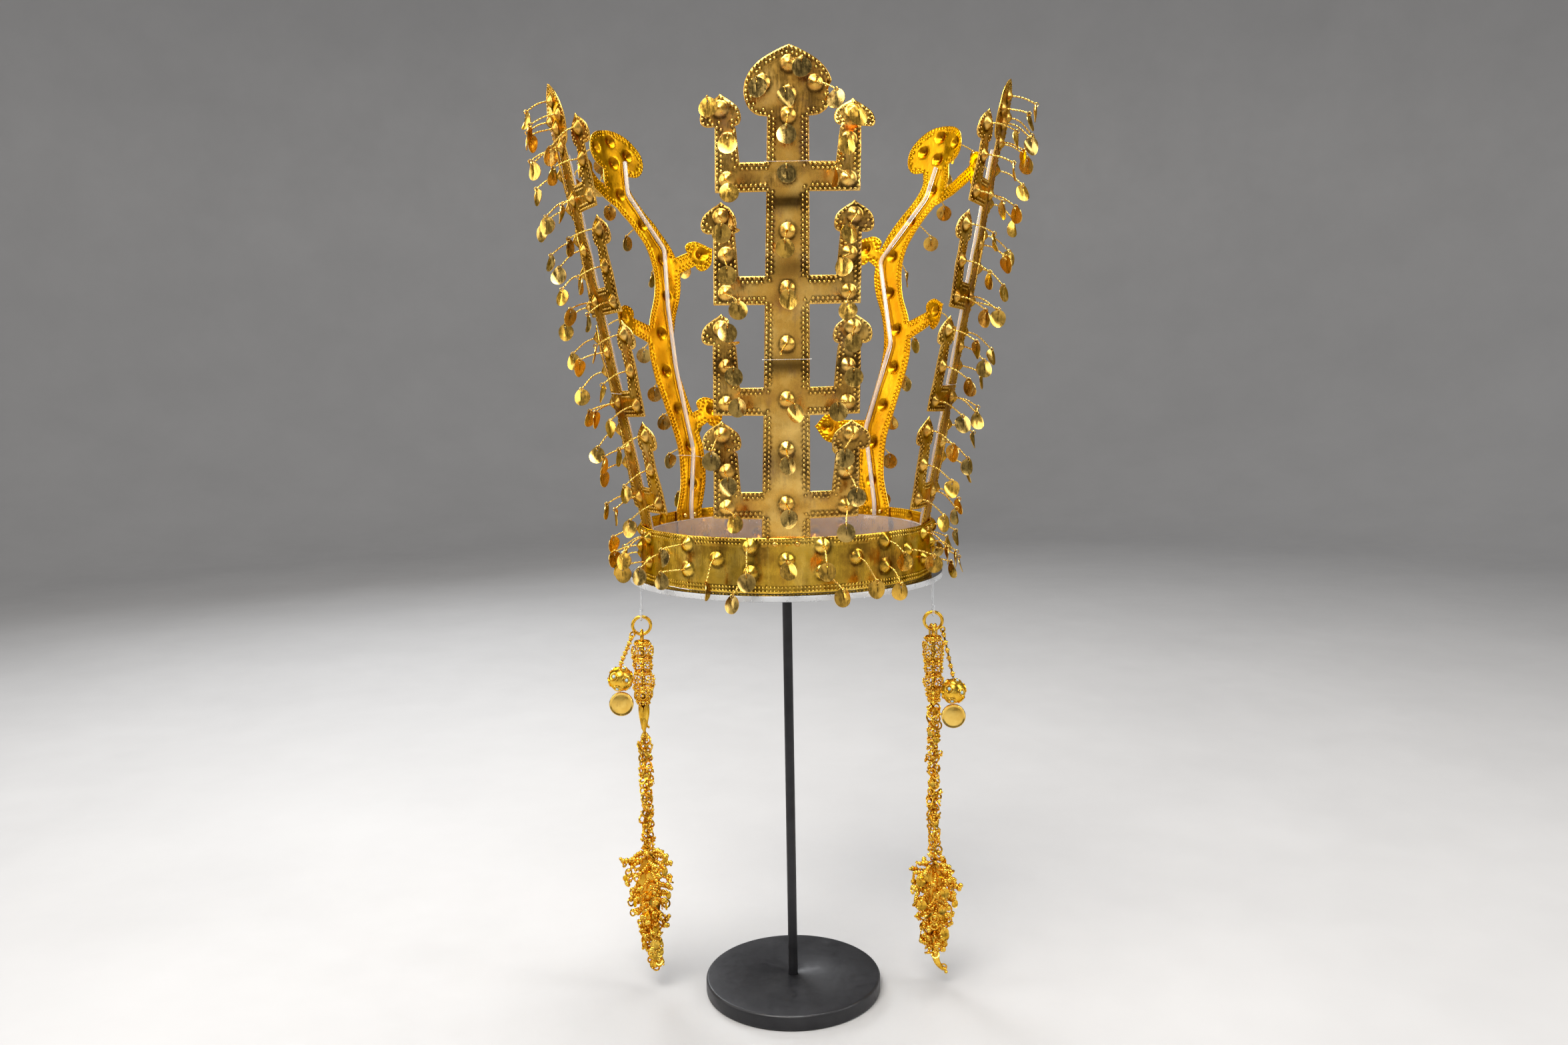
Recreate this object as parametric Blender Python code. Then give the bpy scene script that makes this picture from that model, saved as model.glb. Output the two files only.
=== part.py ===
# A sheet-gold crown with hanging discs and two pendants, on its clear cradle, post and foot.
# Metres, +Z up, the front faces -Y. The origin is the middle of the foot's underside.

import math

import bmesh
import bpy
import numpy as np
from mathutils import Matrix, Vector
from mathutils.geometry import delaunay_2d_cdt

# Gold sheet, and the gap that pieces keep where they touch
SHEET = 0.0006
FIT = 0.0003

# Foot and post
FOOT_RADIUS = 0.052
FOOT_HEIGHT = 0.009
FOOT_BEVEL = 0.0015
POST_RADIUS = 0.00275
POST_SHOWING = 0.2418
POST_IN_FOOT = 0.005

# Clear plate, collar and rods
PLATE_RADIUS = 0.090
PLATE_THICKNESS = 0.0033
COLLAR_WALL = 0.002
COLLAR_BELOW_BAND_TOP = 0.0055
ROD_RADIUS = 0.0013

# Headband
BAND_RADIUS = 0.084
BAND_HEIGHT = 0.0286
BAND_COLUMNS = 28
BAND_SINGLE_HEIGHT = 0.0172
BAND_PAIR_HEIGHTS = (0.0105, 0.0242)

# Bosses, twisted wires and hanging discs
BOSS_RADIUS = 0.0036
BOSS_HEIGHT = 0.0028
WIRE_RADIUS = 0.0005
WIRE_REACH = 0.016
WIRE_END_DEPTH = 0.0015
DISC_RADIUS = 0.0049
DISC_THICKNESS = 0.0007

# Trees: heights are measured up the sheet from the headband's top edge, widths from the stem's middle
STEM_HALF_BOTTOM = 0.0124
STEM_HALF_TOP = 0.010
CROSSBAR_HEIGHT = 0.014
CROSSBAR_BOTTOMS = (0.0100, 0.0633, 0.1188, 0.1737)
CAP_TIPS = (0.0603, 0.1143, 0.1693, 0.2205)
ARM_OUTERS = (0.0373, 0.0373, 0.0368, 0.0358)
ARM_WIDTHS = (0.0140, 0.0135, 0.0125, 0.0120)
CAP_MIDDLE = 0.0331
CAP_WIDTH = 0.020
CAP_HEIGHT = 0.0155
TREE_NECK = 0.0216
TREE_HEAD_WIDTH = 0.043
TREE_HEAD_HEIGHT = 0.0335
TREE_BEND_RADIUS = 0.140
FRONT_TREE_SLANT = 0.0208

# Antlers
ANTLER_HALF = 0.0105
ANTLER_HEAD_WIDTH = 0.045
ANTLER_HEAD_HEIGHT = 0.027
ANTLER_HEAD_LEAN = math.radians(9)
ANTLER_BEND_RADIUS = 0.089
ANTLER_FLAT = 0.0195
ANTLER_FOLD = 0.037
BRANCH_HALF = 0.0048
# The stem's middle line, outward from the stem's foot and up from the headband's top edge
ANTLER_LINE = (
    (0.0, 0.0), (-0.008, 0.020), (-0.0095, 0.042), (-0.0055, 0.062), (-0.0005, 0.085), (0.0005, 0.102),
    (-0.0035, 0.119), (-0.011, 0.135), (-0.014, 0.150), (-0.0115, 0.166), (-0.002, 0.181), (0.009, 0.193),
    (0.0155, 0.204), (0.0145, 0.214),
)
# Branches: side of the stem (1 outward, -1 inward), height of the root, middle of the bud
BRANCHES = {
    "left_antler": (
        (-1, 0.050, (-0.031, 0.062)),
        (1, 0.106, (0.029, 0.121)),
        (-1, 0.152, (-0.041, 0.163)),
        (1, 0.192, (0.047, 0.210)),
    ),
    "right_antler": (
        (-1, 0.050, (-0.042, 0.048)),
        (1, 0.106, (0.030, 0.122)),
        (-1, 0.152, (-0.033, 0.166)),
        (1, 0.192, (0.057, 0.206)),
    ),
}

# How each upright stands: bearing from the front, positive to the right, outward lean, rivets' distance
# from its middle, which keeps them clear of the headband's bosses
UPRIGHTS = {
    "front_tree": (math.radians(0), math.radians(4.4), 0.0058),
    "left_tree": (math.radians(-71), math.radians(11.2), 0.0040),
    "right_tree": (math.radians(74), math.radians(11.2), 0.0058),
    "left_antler": (math.radians(-133), math.radians(12), 0.0040),
    "right_antler": (math.radians(136), math.radians(12), 0.0032),
}
TAB_DEPTH = 0.020
RIVET_RADIUS = 0.0009
RIVET_HEAD_RADIUS = 0.0014
RIVET_HEAD_HEIGHT = 0.0006
RIVET_BELOW_TOP = 0.0030

# Pendants: heights are measured down from the headband's bottom edge
PENDANT_OUT = 0.085
HOOK_RADIUS = 0.0007
RING_MIDDLE = 0.0325
RING_RADIUS = 0.0052
RING_WIRE = 0.0010
LOOP_RADIUS = 0.0035
LOOP_WIRE = 0.0008
BODY_RADIUS = 0.0070
LEAF_RADIUS = 0.0045
CHAIN_RADIUS = 0.0052
CLUSTER_RADIUS = 0.0155
# Side of the crown, the ball's distance outward and down, and lengths of body, leaf cone, chain and cluster
PENDANTS = {
    "left": (-1, 0.0115, 0.0610, (0.0360, 0.0225, 0.0657, 0.0720)),
    "right": (1, 0.0100, 0.0714, (0.0330, 0.0080, 0.0930, 0.0700)),
}
# How these swell: shares of the greatest radius, and of the length from the top
BODY_SHAPE = ((0.60, 0.0), (0.95, 0.2), (0.85, 0.4), (1.0, 0.6), (0.80, 0.8), (0.55, 1.0))
LEAF_SHAPE = ((0.35, 0.0), (1.0, 0.22), (0.85, 0.55), (0.35, 1.0))
CHAIN_ROWS = 12
CHAIN_SHAPE = tuple((1.0 if row % 2 else 0.62, row / (CHAIN_ROWS - 1)) for row in range(CHAIN_ROWS))
CLUSTER_SHAPE = (
    (0.45, 0.0), (1.0, 0.08), (0.86, 0.20), (0.95, 0.33), (0.72, 0.46), (0.66, 0.58),
    (0.42, 0.72), (0.36, 0.84), (0.10, 1.0),
)
KNOBS = 0.14
BALL_RADIUS = 0.0075
BALL_FORWARD = 0.0122
BEAD_RADIUS = 0.0016
BEADS = 5
BEAD_WAIST = 0.35
BEAD_WIDEST = 0.5
PENDANT_DISC_RADIUS = 0.0070
PENDANT_DISC_THICKNESS = 0.0008

# Faceting: the headband has one flat panel for each column of bosses
BAND_SIDES = BAND_COLUMNS
PLATE_SIDES = 28
FOOT_SIDES = 24
POST_SIDES = 8
ROD_SIDES = 5
RIVET_SIDES = 4
BOSS_SIDES = 4
DISC_SIDES = 5
WIRE_SIDES = 3
THIN_SIDES = 4
RING_SEGMENTS = 10
LOOP_SEGMENTS = 8
BALL_SIDES = 8
BALL_ROWS = 5
HANGING_SIDES = 6
CLUSTER_SIDES = 8
PENDANT_DISC_SIDES = 12
SMOOTH_BELOW = math.radians(50)
TINY = 1e-7

# Sizes that follow from those above
TIERS = tuple(zip(CROSSBAR_BOTTOMS, CAP_TIPS, ARM_OUTERS, ARM_WIDTHS))
TREE_HEAD_BASE = CROSSBAR_BOTTOMS[-1] + CROSSBAR_HEIGHT + TREE_NECK
TREE_HEAD_TIP = TREE_HEAD_BASE + TREE_HEAD_HEIGHT
PLATE_BOTTOM = FOOT_HEIGHT + POST_SHOWING
BAND_BOTTOM = PLATE_BOTTOM + PLATE_THICKNESS + FIT
BAND_TOP = BAND_BOTTOM + BAND_HEIGHT
COLLAR_TOP = BAND_TOP - COLLAR_BELOW_BAND_TOP


def tab_radius(half):
    """How far from the axis a flat tab's outer face stands, so that its side edges clear the headband."""
    inside = (BAND_RADIUS - SHEET) * math.cos(math.pi / BAND_SIDES)
    return math.sqrt(inside**2 - half**2) - FIT


TREE_RADIUS = tab_radius(STEM_HALF_BOTTOM)
ANTLER_RADIUS = tab_radius(ANTLER_HALF)
COLLAR_RADIUS = min(TREE_RADIUS, ANTLER_RADIUS) - SHEET - FIT


def material(name, colour, metallic, roughness, transmission=0.0):
    made = bpy.data.materials.new(name)
    made.use_nodes = True
    shader = made.node_tree.nodes["Principled BSDF"]
    shader.inputs["Base Color"].default_value = (*colour, 1)
    shader.inputs["Metallic"].default_value = metallic
    shader.inputs["Roughness"].default_value = roughness
    shader.inputs["Transmission Weight"].default_value = transmission
    return made


def finish(name, shape, look, place=(0, 0, 0), turn=0.0, parent=None):
    """One object from a bmesh, with its faces turned out."""
    bmesh.ops.recalc_face_normals(shape, faces=shape.faces)
    mesh = bpy.data.meshes.new(name)
    shape.to_mesh(mesh)
    shape.free()
    mesh.materials.append(look)
    made = bpy.data.objects.new(name, mesh)
    made.location = place
    made.rotation_euler = (0, 0, turn)
    made.parent = parent
    bpy.context.collection.objects.link(made)
    return made


def hide(helper):
    helper.hide_render = True
    helper.display_type = "WIRE"
    return helper


def boolean(target, helper, operation):
    change = target.modifiers.new(helper.name, "BOOLEAN")
    change.operation = operation
    change.object = helper
    change.solver = "EXACT"


def smooth(made):
    made.data.shade_smooth()
    made.data.set_sharp_from_angle(angle=SMOOTH_BELOW)


def zip_rings(shape, lower, upper):
    """Triangles between two rings of points that may differ in number."""
    i = j = 0
    while i < len(lower) or j < len(upper):
        here = (lower[i % len(lower)], upper[j % len(upper)])
        if (i + 1) * len(upper) <= (j + 1) * len(lower):
            i += 1
            shape.faces.new((here[0], lower[i % len(lower)], here[1]))
        else:
            j += 1
            shape.faces.new((here[0], upper[j % len(upper)], here[1]))


def ring(shape, centre, across, up, radius, sides, start=0.0):
    """Points round a circle that the two unit vectors span."""
    angles = [start + math.tau * k / sides for k in range(sides)]
    return [shape.verts.new(centre + radius * (math.cos(a) * across + math.sin(a) * up)) for a in angles]


def loft(shape, rings, capped=True, around=False):
    """Quads between rings of equal count, with end caps, or with the last ring joined to the first."""
    pairs = list(zip(rings, rings[1:]))
    if around:
        pairs.append((rings[-1], rings[0]))
    for lower, upper in pairs:
        for k in range(len(lower)):
            after = (k + 1) % len(lower)
            shape.faces.new((lower[k], lower[after], upper[after], upper[k]))
    if capped and not around:
        shape.faces.new(rings[0][::-1])
        shape.faces.new(rings[-1])


X_AXIS, Y_AXIS, Z_AXIS = Vector((1, 0, 0)), Vector((0, 1, 0)), Vector((0, 0, 1))


def turned(profile, sides, around=False, start=0.0):
    """A shape turned about Z from (radius, height) points, with capped ends unless it goes around."""
    shape = bmesh.new()
    rings = [ring(shape, Z_AXIS * height, X_AXIS, Y_AXIS, radius, sides, start) for radius, height in profile]
    loft(shape, rings, around=around)
    return shape


def tube(path, radius, sides, closed=False):
    """A tube along points, its cross-sections square to the path."""
    shape = bmesh.new()
    points = [Vector(p) for p in path]
    count = len(points)
    rings = []
    side = None
    for k, point in enumerate(points):
        before = points[k - 1] if closed or k else point
        after = points[(k + 1) % count] if closed or k < count - 1 else point
        along = (after - before).normalized()
        if side is None:
            side = along.orthogonal().normalized()
        side = (side - along * side.dot(along)).normalized()
        rings.append(ring(shape, point, side, along.cross(side), radius, sides))
    if closed:
        loft(shape, rings, around=True)
    else:
        loft(shape, rings)
    return shape


# Bud outline from one side of its neck over the tip to the other: (half-widths across, heights up)
SMALL_BUD = ((0.50, 0.34), (0.37, 0.72))
LARGE_BUD = ((0.40, 0.08), (0.50, 0.36), (0.43, 0.66), (0.20, 0.88))


def bud(neck, way, width, height, half_outline):
    """Outline points of a bud that grows from the middle of its neck towards way, right side first."""
    right = Vector((way[1], -way[0]))
    side = [(across * width, up * height) for across, up in half_outline]
    outline = side + [(0.0, height)] + [(-across, up) for across, up in reversed(side)]
    return [neck + across * right + up * way for across, up in outline]


def stem_half(height):
    """The tree stem's half-width, which narrows from the headband to the head."""
    return STEM_HALF_BOTTOM + (STEM_HALF_TOP - STEM_HALF_BOTTOM) * max(height, 0) / TREE_HEAD_BASE


def tree_outline():
    """The tree's cut, counter-clockwise from the right of its foot."""
    right = []
    for low, tip, outer, width in TIERS:
        top = low + CROSSBAR_HEIGHT
        base = tip - CAP_HEIGHT
        inner = outer - width
        right += [Vector((x, low)) for x in (stem_half(low), inner, outer)]
        right.append(Vector((outer, base)))
        right += bud(Vector((CAP_MIDDLE, base)), Vector((0, 1)), CAP_WIDTH, CAP_HEIGHT, SMALL_BUD)
        right += [Vector((inner, base)), Vector((inner, top)), Vector((stem_half(top), top))]
    neck = Vector((0, TREE_HEAD_BASE))
    right.append(neck + Vector((STEM_HALF_TOP, 0)))
    head = bud(neck, Vector((0, 1)), TREE_HEAD_WIDTH, TREE_HEAD_HEIGHT, LARGE_BUD)
    left = [Vector((-p.x, p.y)) for p in reversed(right)]
    half = STEM_HALF_BOTTOM
    foot = [Vector(corner) for corner in ((-half, 0), (-half, -TAB_DEPTH), (half, -TAB_DEPTH), (half, 0))]
    return foot + right + head + left


def tree_folds():
    """Pairs of outline points that the tree's sheet is folded between: tab, sides of the stem and arms."""
    pairs = [(Vector((-STEM_HALF_BOTTOM, 0)), Vector((STEM_HALF_BOTTOM, 0)))]
    for low, _, outer, width in TIERS:
        top = low + CROSSBAR_HEIGHT
        inner = outer - width
        for side in (-1, 1):
            pairs.append((Vector((side * stem_half(low), low)), Vector((side * stem_half(top), top))))
            pairs.append((Vector((side * inner, low)), Vector((side * inner, top))))
    return pairs


def antler_middle(height):
    line = np.array(ANTLER_LINE)
    return float(np.interp(height, line[:, 1], line[:, 0]))


def branch_outline(side, root, middle):
    """A branch and its bud, in the order of a walk up that side of the stem, and its two roots."""
    start = Vector((antler_middle(root), root))
    way = (Vector(middle) - start).normalized()
    across = Vector((-way.y, way.x)) * side * BRANCH_HALF
    neck = Vector(middle) - way * CAP_HEIGHT / 2
    outline = bud(neck, way, CAP_WIDTH, CAP_HEIGHT, SMALL_BUD)
    if side < 0:
        outline.reverse()
    return [neck - across] + outline + [neck + across]


def antler_side(side, branches):
    """One side of the antler from foot to neck, with its branches."""
    walk = []
    taken = []
    for branch_side, root, middle in branches:
        if branch_side == side:
            start = Vector((antler_middle(root), root))
            way = (Vector(middle) - start).normalized()
            rise = way.y / abs(way.x) * ANTLER_HALF
            spread = BRANCH_HALF / abs(way.x)
            low, high = root + rise - spread, root + rise + spread
            roots = [Vector((antler_middle(z) + side * ANTLER_HALF, z)) for z in (low, high)]
            walk.append((low, [roots[0]] + branch_outline(side, root, middle) + [roots[1]]))
            taken.append((low, high))
    for x, z in ANTLER_LINE[1:]:
        if not any(low - BRANCH_HALF < z < high + BRANCH_HALF for low, high in taken):
            walk.append((z, [Vector((x + side * ANTLER_HALF, z))]))
    return [point for _, points in sorted(walk, key=lambda step: step[0]) for point in points]


def antler_outline(branches):
    """The antler's cut with its outward side at +X, counter-clockwise from the right of its foot."""
    foot_x = ANTLER_LINE[0][0]
    corners = ((-1, 0), (-1, -TAB_DEPTH), (1, -TAB_DEPTH), (1, 0))
    foot = [Vector((foot_x + side * ANTLER_HALF, z)) for side, z in corners]
    way = Vector((-math.sin(ANTLER_HEAD_LEAN), math.cos(ANTLER_HEAD_LEAN)))
    head = bud(Vector(ANTLER_LINE[-1]), way, ANTLER_HEAD_WIDTH, ANTLER_HEAD_HEIGHT, LARGE_BUD)
    return foot + antler_side(1, branches) + head + antler_side(-1, branches)[::-1]


def arc_depth(x, radius):
    """How far inward a sheet bent to a radius lies at a distance from its middle."""
    return x * x / (2 * radius)


def tree_curl(x, z):
    """The tree's depth: flat stem and head, crossbar panels and arm panels."""
    distance = abs(x)
    half = stem_half(z)
    on_head = z >= TREE_HEAD_BASE and distance <= TREE_HEAD_WIDTH / 2
    if distance <= half or on_head:
        return 0.0
    inner = np.interp(z, CROSSBAR_BOTTOMS, [outer - width for _, _, outer, width in TIERS])
    stations = (half, inner, ARM_OUTERS[0])
    depths = [arc_depth(x, TREE_BEND_RADIUS) - arc_depth(half, TREE_BEND_RADIUS) for x in stations]
    if distance <= inner:
        return float(np.interp(distance, stations[:2], depths[:2]))
    slope = (depths[2] - depths[1]) / (ARM_OUTERS[0] - inner)
    return float(depths[1] + slope * (distance - inner))


def antler_curl(x, z):
    """The antler's depth: a flat middle and two panels on each side of it."""
    stations = (ANTLER_FLAT, ANTLER_FOLD, 2 * ANTLER_FOLD)
    flat = arc_depth(ANTLER_FLAT, ANTLER_BEND_RADIUS)
    depths = [arc_depth(s, ANTLER_BEND_RADIUS) - flat for s in stations]
    return float(np.interp(abs(x), stations, depths))


class Sheet:
    """An upright's sheet in its own frame: X across, Y inward, Z up, the tab's outer face at Y zero."""

    def __init__(self, lean, curl, slant=0.0):
        self.lean, self.curl, self.slant = lean, curl, slant

    def point(self, x, z, depth=0.0):
        """A point on the outer face, or depth inside it."""
        flat = Vector((x + self.slant * max(z, 0), self.curl(x, z) + depth, z))
        if z <= 0:
            return flat
        return Matrix.Rotation(self.lean, 3, "X") @ flat

    def outward(self):
        return Vector((0, -math.cos(self.lean), -math.sin(self.lean)))

    def solid(self, outline, fold, bosses, offsets):
        """The sheet cut to an outline, folded, leaned and thickened, with a spangle on each boss."""
        shape = bmesh.new()
        shape.faces.new([shape.verts.new((p.x, 0, p.y)) for p in outline])
        fold(shape)
        flat = {vert: (vert.co.x, vert.co.z) for vert in shape.verts}
        front = shape.faces[:]
        copy = bmesh.ops.duplicate(shape, geom=front)
        back = copy["vert_map"]
        rim = [edge.verts[:] for edge in shape.edges if edge.is_boundary and edge.verts[0] in flat]
        for a, b in rim:
            shape.faces.new((a, b, back[b], back[a]))
        roots = []
        for face in [made for made in copy["geom"] if isinstance(made, bmesh.types.BMFace)]:
            pierce(shape, face, [], X_AXIS, Z_AXIS)
        for face in front:
            inside = [place for place in bosses if holds(face, place)]
            roots += zip(inside, pierce(shape, face, [Vector((x, 0, z)) for x, z in inside], X_AXIS, Z_AXIS))
        for place, root in roots:
            flat.update({vert: (vert.co.x, vert.co.z) for vert in root})
        for vert, (x, z) in flat.items():
            vert.co = self.point(x, z)
            if vert in back:
                back[vert].co = self.point(x, z, SHEET)
        for (place, root), (side, down) in zip(sorted(roots, key=lambda r: bosses.index(r[0])), offsets):
            spangle(shape, root, self.point(*place), self.outward(), side, down)
        return shape


def holds(face, place):
    """Whether a flat face in the XZ plane holds a point."""
    crossings = 0
    for loop in face.loops:
        a, b = loop.vert.co, loop.link_loop_next.vert.co
        if (a.z > place[1]) != (b.z > place[1]):
            crossings += a.x + (b.x - a.x) * (place[1] - a.z) / (b.z - a.z) > place[0]
    return crossings % 2 == 1


def pierce(shape, face, middles, across, up):
    """Fills a flat face with triangles round the bosses on it, and gives each boss's ring of points."""
    roots = [ring(shape, middle, across, up, BOSS_RADIUS, BOSS_SIDES, math.pi / 2) for middle in middles]
    loops = [[loop.vert for loop in face.loops]] + roots
    shape.faces.remove(face)
    points = [vert for loop in loops for vert in loop]
    edges = []
    for loop in loops:
        first = points.index(loop[0])
        edges += [(first + k, first + (k + 1) % len(loop)) for k in range(len(loop))]
    flat = [Vector((vert.co.dot(across), vert.co.dot(up))) for vert in points]
    _, _, triangles, sources, _, _ = delaunay_2d_cdt(flat, edges, [], 1, TINY)
    for triangle in triangles:
        corners = [points[sources[k][0]] for k in triangle]
        if not any(set(corners) <= set(root) for root in roots):
            shape.faces.new(corners)
    return roots


def fold_tree(shape):
    """Cuts the tree's flat face along its folds."""
    shape.verts.ensure_lookup_table()
    for a, b in tree_folds():
        ends = [min(shape.verts, key=lambda v: (v.co.xz - end).length) for end in (a, b)]
        bmesh.ops.connect_verts(shape, verts=ends)


def fold_antler(shape):
    """Cuts the antler's flat face along the tab's top and its upright folds."""
    folds = [(X_AXIS * x, X_AXIS) for x in (-ANTLER_FOLD, -ANTLER_FLAT, ANTLER_FLAT, ANTLER_FOLD)]
    for place, normal in folds + [(Vector((0, 0, 0)), Z_AXIS)]:
        parts = shape.verts[:] + shape.edges[:] + shape.faces[:]
        bmesh.ops.bisect_plane(shape, geom=parts, dist=TINY, plane_co=place, plane_no=normal)


def sway(k):
    """A steady scatter between -1 and 1, the same on every run."""
    return 2 * ((k * 0.618034) % 1) - 1


def spangle(shape, base, root, outward, side, down):
    """A boss on its ring of points, a wire that stands out from it and a disc that hangs from its end."""
    level = Vector((outward.x, outward.y, 0)).normalized()
    across = Z_AXIS.cross(level)
    start = root + outward * BOSS_HEIGHT
    end = root + outward * WIRE_REACH + across * side - Z_AXIS * down
    wire_start = ring(shape, start, across, Z_AXIS, WIRE_RADIUS, WIRE_SIDES, math.pi / 2)
    middle = end + level * DISC_THICKNESS - Z_AXIS * DISC_RADIUS
    rim = ring(shape, middle, across, Z_AXIS, DISC_RADIUS, DISC_SIDES, math.pi / 2)
    low = end - Z_AXIS * WIRE_END_DEPTH
    back = [shape.verts.new(low + across * part * WIRE_RADIUS) for part in (-1, 1)]
    zip_rings(shape, base, wire_start)
    loft(shape, [wire_start, [rim[0]] + back], capped=False)
    shape.faces.new(rim)
    left, right = back
    middle = (DISC_SIDES + 1) // 2
    for a, b in zip(rim[:middle], rim[1:middle + 1]):
        shape.faces.new((left, a, b))
    shape.faces.new((left, rim[middle], right))
    for a, b in zip(rim[middle:], rim[middle + 1:] + rim[:1]):
        shape.faces.new((right, a, b))


ARM_BOSS_UP = (0.0060, 0.0246)
CAP_BOSS_BELOW_TIP = 0.0070
STEM_BOSS_UP = (0.008, 0.036)
HEAD_BOSSES = ((0.0, 0.0087), (-0.0125, 0.0175), (0.0130, 0.0180), (0.0, 0.0230))


def tree_bosses():
    """Three bosses on each arm, two on the stem for each crossbar and four on the head."""
    places = []
    for low, tip, outer, width in TIERS:
        for side in (-1, 1):
            arm = side * (outer - width / 2)
            places += [(arm, low + up) for up in ARM_BOSS_UP]
            places.append((side * CAP_MIDDLE, tip - CAP_BOSS_BELOW_TIP))
        places += [(0.0, low + up) for up in STEM_BOSS_UP]
    return places + [(x, TREE_HEAD_TIP - down) for x, down in HEAD_BOSSES]


ANTLER_BOSS_HEIGHTS = (0.016, 0.040, 0.064, 0.088, 0.112, 0.136, 0.160, 0.182, 0.200)
ANTLER_HEAD_BOSSES = ((-0.012, 0.012), (0.0, 0.006), (0.0, 0.020), (0.014, 0.014))


def antler_bosses(branches):
    """Bosses up the middle of the stem, on the head, and on each branch's bud and shaft."""
    places = [(antler_middle(z), z) for z in ANTLER_BOSS_HEIGHTS]
    neck_x, neck_z = ANTLER_LINE[-1]
    places += [(neck_x + x, neck_z + z) for x, z in ANTLER_HEAD_BOSSES]
    return places + [middle for _, _, middle in branches]


def scatter(count, seed):
    """Sideways and downward offsets of the wire ends."""
    return [(0.0045 * sway(seed + k), 0.0040 + 0.0030 * sway(seed + 3 * k)) for k in range(count)]


def add_tree(name, gold, parent, seed, slant=0.0):
    bearing, lean, _ = UPRIGHTS[name]
    sheet = Sheet(lean, tree_curl, slant)
    place = (TREE_RADIUS * math.sin(bearing), -TREE_RADIUS * math.cos(bearing), BAND_TOP)
    bosses = tree_bosses()
    shape = sheet.solid(tree_outline(), fold_tree, bosses, scatter(len(bosses), seed))
    return finish(name, shape, gold, place, bearing, parent)


def add_antler(name, gold, parent, seed, mirror):
    bearing, lean, _ = UPRIGHTS[name]
    sheet = Sheet(lean, antler_curl)
    place = (ANTLER_RADIUS * math.sin(bearing), -ANTLER_RADIUS * math.cos(bearing), BAND_TOP)
    outline = [Vector((mirror * p.x, p.y)) for p in antler_outline(BRANCHES[name])]
    bosses = [(mirror * x, z) for x, z in antler_bosses(BRANCHES[name])]
    shape = sheet.solid(outline, fold_antler, bosses, scatter(len(bosses), seed))
    return finish(name, shape, gold, place, bearing, parent)


def add_headband(gold, parent):
    """The hoop, with a boss, wire and disc at each place of its columns."""
    inner = BAND_RADIUS - SHEET
    profile = ((BAND_RADIUS, 0), (BAND_RADIUS, BAND_HEIGHT), (inner, BAND_HEIGHT), (inner, 0))
    shape = turned(profile, BAND_SIDES, around=True, start=math.pi / 2 + math.pi / BAND_SIDES)
    shape.normal_update()
    flat_radius = BAND_RADIUS * math.cos(math.pi / BAND_SIDES)
    offsets = iter(scatter(2 * BAND_COLUMNS, 5))
    for column in range(BAND_COLUMNS):
        bearing = math.tau * column / BAND_COLUMNS
        outward = Vector((math.sin(bearing), -math.cos(bearing), 0))
        heights = BAND_PAIR_HEIGHTS if column % 2 else (BAND_SINGLE_HEIGHT,)
        middles = [outward * flat_radius + Z_AXIS * height for height in heights]
        panel = outward * flat_radius + Z_AXIS * BAND_HEIGHT / 2
        face = min(shape.faces, key=lambda f: (f.calc_center_median() - panel).length)
        for middle, root in zip(middles, pierce(shape, face, middles, Z_AXIS.cross(outward), Z_AXIS)):
            side, down = next(offsets)
            spangle(shape, root, middle, outward, side, down)
    return finish("headband", shape, gold, (0, 0, BAND_BOTTOM), 0.0, parent)


def rivet_places():
    """Name, bearing, sideways offset and tab radius of each rivet."""
    for name, (bearing, _, spread) in UPRIGHTS.items():
        radius = TREE_RADIUS if name.endswith("tree") else ANTLER_RADIUS
        for number, side in enumerate((-1, 1), 1):
            yield f"{name}_rivet_{number}", bearing, side * spread, radius


def dome(shape, rim, top):
    """Triangles from a ring to a point."""
    peak = shape.verts.new(top)
    for a, b in zip(rim, rim[1:] + rim[:1]):
        shape.faces.new((a, b, peak))


def shank(shape, radius, inner, outer):
    """Two rings of a rivet's shank or hole, along Y."""
    return [ring(shape, Y_AXIS * -y, X_AXIS, Z_AXIS, radius, RIVET_SIDES) for y in (outer, inner)]


def add_rivets(band, uprights, steel, parent):
    """Rivets through headband and tab, and the holes that they pass through with a clearance."""
    height = BAND_TOP - RIVET_BELOW_TOP
    holes = bmesh.new()
    for name, bearing, across, radius in rivet_places():
        turn = Matrix.Rotation(bearing, 4, "Z")
        outside = math.sqrt(BAND_RADIUS**2 - across**2) + FIT
        inside = radius - SHEET - FIT
        shape = bmesh.new()
        rings = [
            ring(shape, Y_AXIS * -y, X_AXIS, Z_AXIS, r, RIVET_SIDES)
            for y, r in (
                (outside, RIVET_HEAD_RADIUS),
                (outside, RIVET_RADIUS),
                (inside, RIVET_RADIUS),
                (inside, RIVET_HEAD_RADIUS),
            )
        ]
        loft(shape, rings, capped=False)
        for rim, y in ((rings[0], outside + RIVET_HEAD_HEIGHT), (rings[-1], inside - RIVET_HEAD_HEIGHT)):
            dome(shape, rim, Y_AXIS * -y)
        place = turn @ Vector((across, 0, height))
        smooth(finish(name, shape, steel, place, bearing, parent))
        before = len(holes.verts)
        loft(holes, shank(holes, RIVET_RADIUS + FIT, inside - FIT, outside + FIT))
        holes.verts.ensure_lookup_table()
        bmesh.ops.transform(holes, matrix=Matrix.Translation(place) @ turn, verts=holes.verts[before:])
    cutter = hide(finish("rivet_holes", holes, steel, parent=parent))
    for target in [band] + uprights:
        boolean(target, cutter, "DIFFERENCE")


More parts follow.
